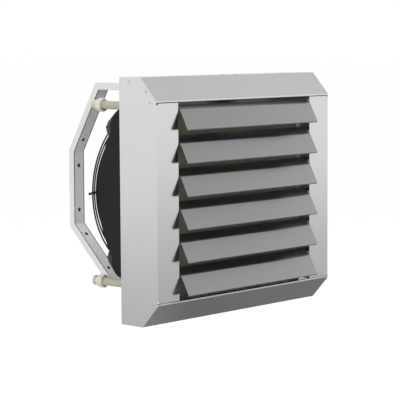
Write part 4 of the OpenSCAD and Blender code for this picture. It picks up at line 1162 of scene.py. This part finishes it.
class HEATER_OT_stage(bpy.types.Operator):
    """Pale floor, white surroundings, soft lamps and the camera"""

    bl_idname = "heater.stage"
    bl_label = "Stage"

    def execute(self, context):
        stage = context.scene.heater_stage
        floor_z = CAD_BOX[0][2] - stage.floor_drop
        bpy.ops.mesh.primitive_plane_add(size=FLOOR_SIZE, location=(0, 0, floor_z))
        floor = added("floor")
        settle(floor)
        floor.data.materials.append(self.floor_finish())
        self.surroundings(context.scene)
        for lamp in LAMPS:
            soft_lamp(*lamp)
        self.camera(context.scene, stage)
        context.scene.view_settings.view_transform = "Standard"
        return {"FINISHED"}

    def camera(self, scene, stage):
        """The camera of the photograph."""
        camera = bpy.data.objects.new("camera", bpy.data.cameras.new("camera"))
        camera.data.lens = stage.lens
        camera.data.sensor_width = SENSOR_WIDTH
        camera.data.clip_end = FARTHEST
        azimuth, elevation, roll = stage.azimuth, stage.elevation, stage.roll
        back = Vector((math.sin(azimuth) * math.cos(elevation), -math.cos(azimuth) * math.cos(elevation),
                       math.sin(elevation)))
        right = Vector((math.cos(azimuth), math.sin(azimuth), 0))
        up = back.cross(right)
        across = math.cos(roll) * right + math.sin(roll) * up
        upward = math.cos(roll) * up - math.sin(roll) * right
        camera_axes = Matrix((across, upward, back)).transposed().to_4x4()
        camera.matrix_world = Matrix.Translation(stage.place) @ camera_axes
        scene.collection.objects.link(camera)
        scene.camera = camera

    def floor_finish(self):
        """Pale floor that the camera sees as white with the heater's shadow; metal sees it glow in grey levels, a
        painted shade that is darkest near the heater.
        """
        material = bpy.data.materials.new("Floor")
        material.use_nodes = True
        material.node_tree.nodes.clear()
        nodes = Nodes(material.node_tree)
        rays = nodes.add("ShaderNodeLightPath").outputs
        to_middle = (-FLOOR_MIDDLE[0], -FLOOR_MIDDLE[1], 0.0)
        shifted = nodes.add("ShaderNodeMapping", {"Vector": nodes.place(), "Location": to_middle}).outputs[0]
        away = nodes.add("ShaderNodeVectorMath", {0: shifted}, operation="LENGTH").outputs["Value"]
        ramp = nodes.add("ShaderNodeValToRGB", {"Fac": nodes.maths("MULTIPLY", away, 1 / FLOOR_REACH)})
        graded(ramp.color_ramp, [(metres / FLOOR_REACH, level) for metres, level in FLOOR_LEVELS])
        plain = nodes.add("ShaderNodeBsdfDiffuse", {"Color": FLOOR_GREY}).outputs[0]
        white = nodes.add("ShaderNodeEmission", {"Color": WHITE, "Strength": FLOOR_WHITE_STRENGTH}).outputs[0]
        # Painted shade for metal: the floor glows in the ramp's grey levels, dark near the heater and pale far
        # away
        seen = nodes.add("ShaderNodeEmission", {"Color": ramp.outputs[0], "Strength": 1.0}).outputs[0]
        share = nodes.maths("MULTIPLY", rays["Is Camera Ray"], FLOOR_WHITE_SHARE)
        both = nodes.reflected(rays, nodes.mixed(share, plain, white), seen)
        nodes.add("ShaderNodeOutputMaterial", {"Surface": both})
        return material

    def surroundings(self, scene):
        """White for the camera, a soft sky that darkens upwards for metal, and a plain level of light."""
        world = bpy.data.worlds.new("surroundings")
        scene.world = world
        world.use_nodes = True
        world.node_tree.nodes.clear()
        nodes = Nodes(world.node_tree)
        rays = nodes.add("ShaderNodeLightPath").outputs
        way = nodes.add("ShaderNodeTexCoord").outputs["Generated"]
        height = nodes.add("ShaderNodeSeparateXYZ", {"Vector": way}).outputs["Z"]
        ramp = nodes.add("ShaderNodeValToRGB", {"Fac": height})
        graded(ramp.color_ramp, SKY_LEVELS)
        plain = nodes.add("ShaderNodeBackground", {"Color": WHITE, "Strength": LIGHT_LEVEL}).outputs[0]
        white = nodes.add("ShaderNodeBackground", {"Color": WHITE, "Strength": 1.0}).outputs[0]
        sky = nodes.add("ShaderNodeBackground", {"Color": ramp.outputs[0], "Strength": 1.0}).outputs[0]
        both = nodes.reflected(rays, nodes.mixed(rays["Is Camera Ray"], plain, white), sky)
        nodes.add("ShaderNodeOutputWorld", {"Surface": both})


# Panel and main

OPERATORS = (
    HEATER_OT_finishes, HEATER_OT_casing, HEATER_OT_louvers, HEATER_OT_coil, HEATER_OT_pipes,
    HEATER_OT_console, HEATER_OT_housing, HEATER_OT_guard, HEATER_OT_motor, HEATER_OT_impeller,
    HEATER_OT_fasteners, HEATER_OT_stage)


class HEATER_PT_panel(bpy.types.Panel):
    """Lists the heater's sizes, colours and steps"""

    bl_label = "Fan heater"
    bl_idname = "HEATER_PT_panel"
    bl_space_type = "VIEW_3D"
    bl_region_type = "UI"
    bl_category = "Fan heater"

    def draw(self, context):
        scene = context.scene
        for group in (scene.heater_sizes, scene.heater_colours, scene.heater_stage):
            box = self.layout.box()
            for key in group.__annotations__:
                box.prop(group, key)
        for operator in OPERATORS:
            self.layout.operator(operator.bl_idname)


GROUPS = (("heater_sizes", HeaterSizes), ("heater_colours", HeaterColours), ("heater_stage", HeaterStage))


def register():
    for label, group in GROUPS:
        bpy.utils.register_class(group)
        setattr(bpy.types.Scene, label, PointerProperty(type=group))
    for item in OPERATORS + (HEATER_PT_panel,):
        bpy.utils.register_class(item)


def unregister():
    for item in reversed(OPERATORS + (HEATER_PT_panel,)):
        bpy.utils.unregister_class(item)
    for label, group in reversed(GROUPS):
        delattr(bpy.types.Scene, label)
        bpy.utils.unregister_class(group)


def main():
    register()
    for item in OPERATORS:
        family, step = item.bl_idname.split(".")
        getattr(getattr(bpy.ops, family), step)()


if __name__ == "__main__":
    main()
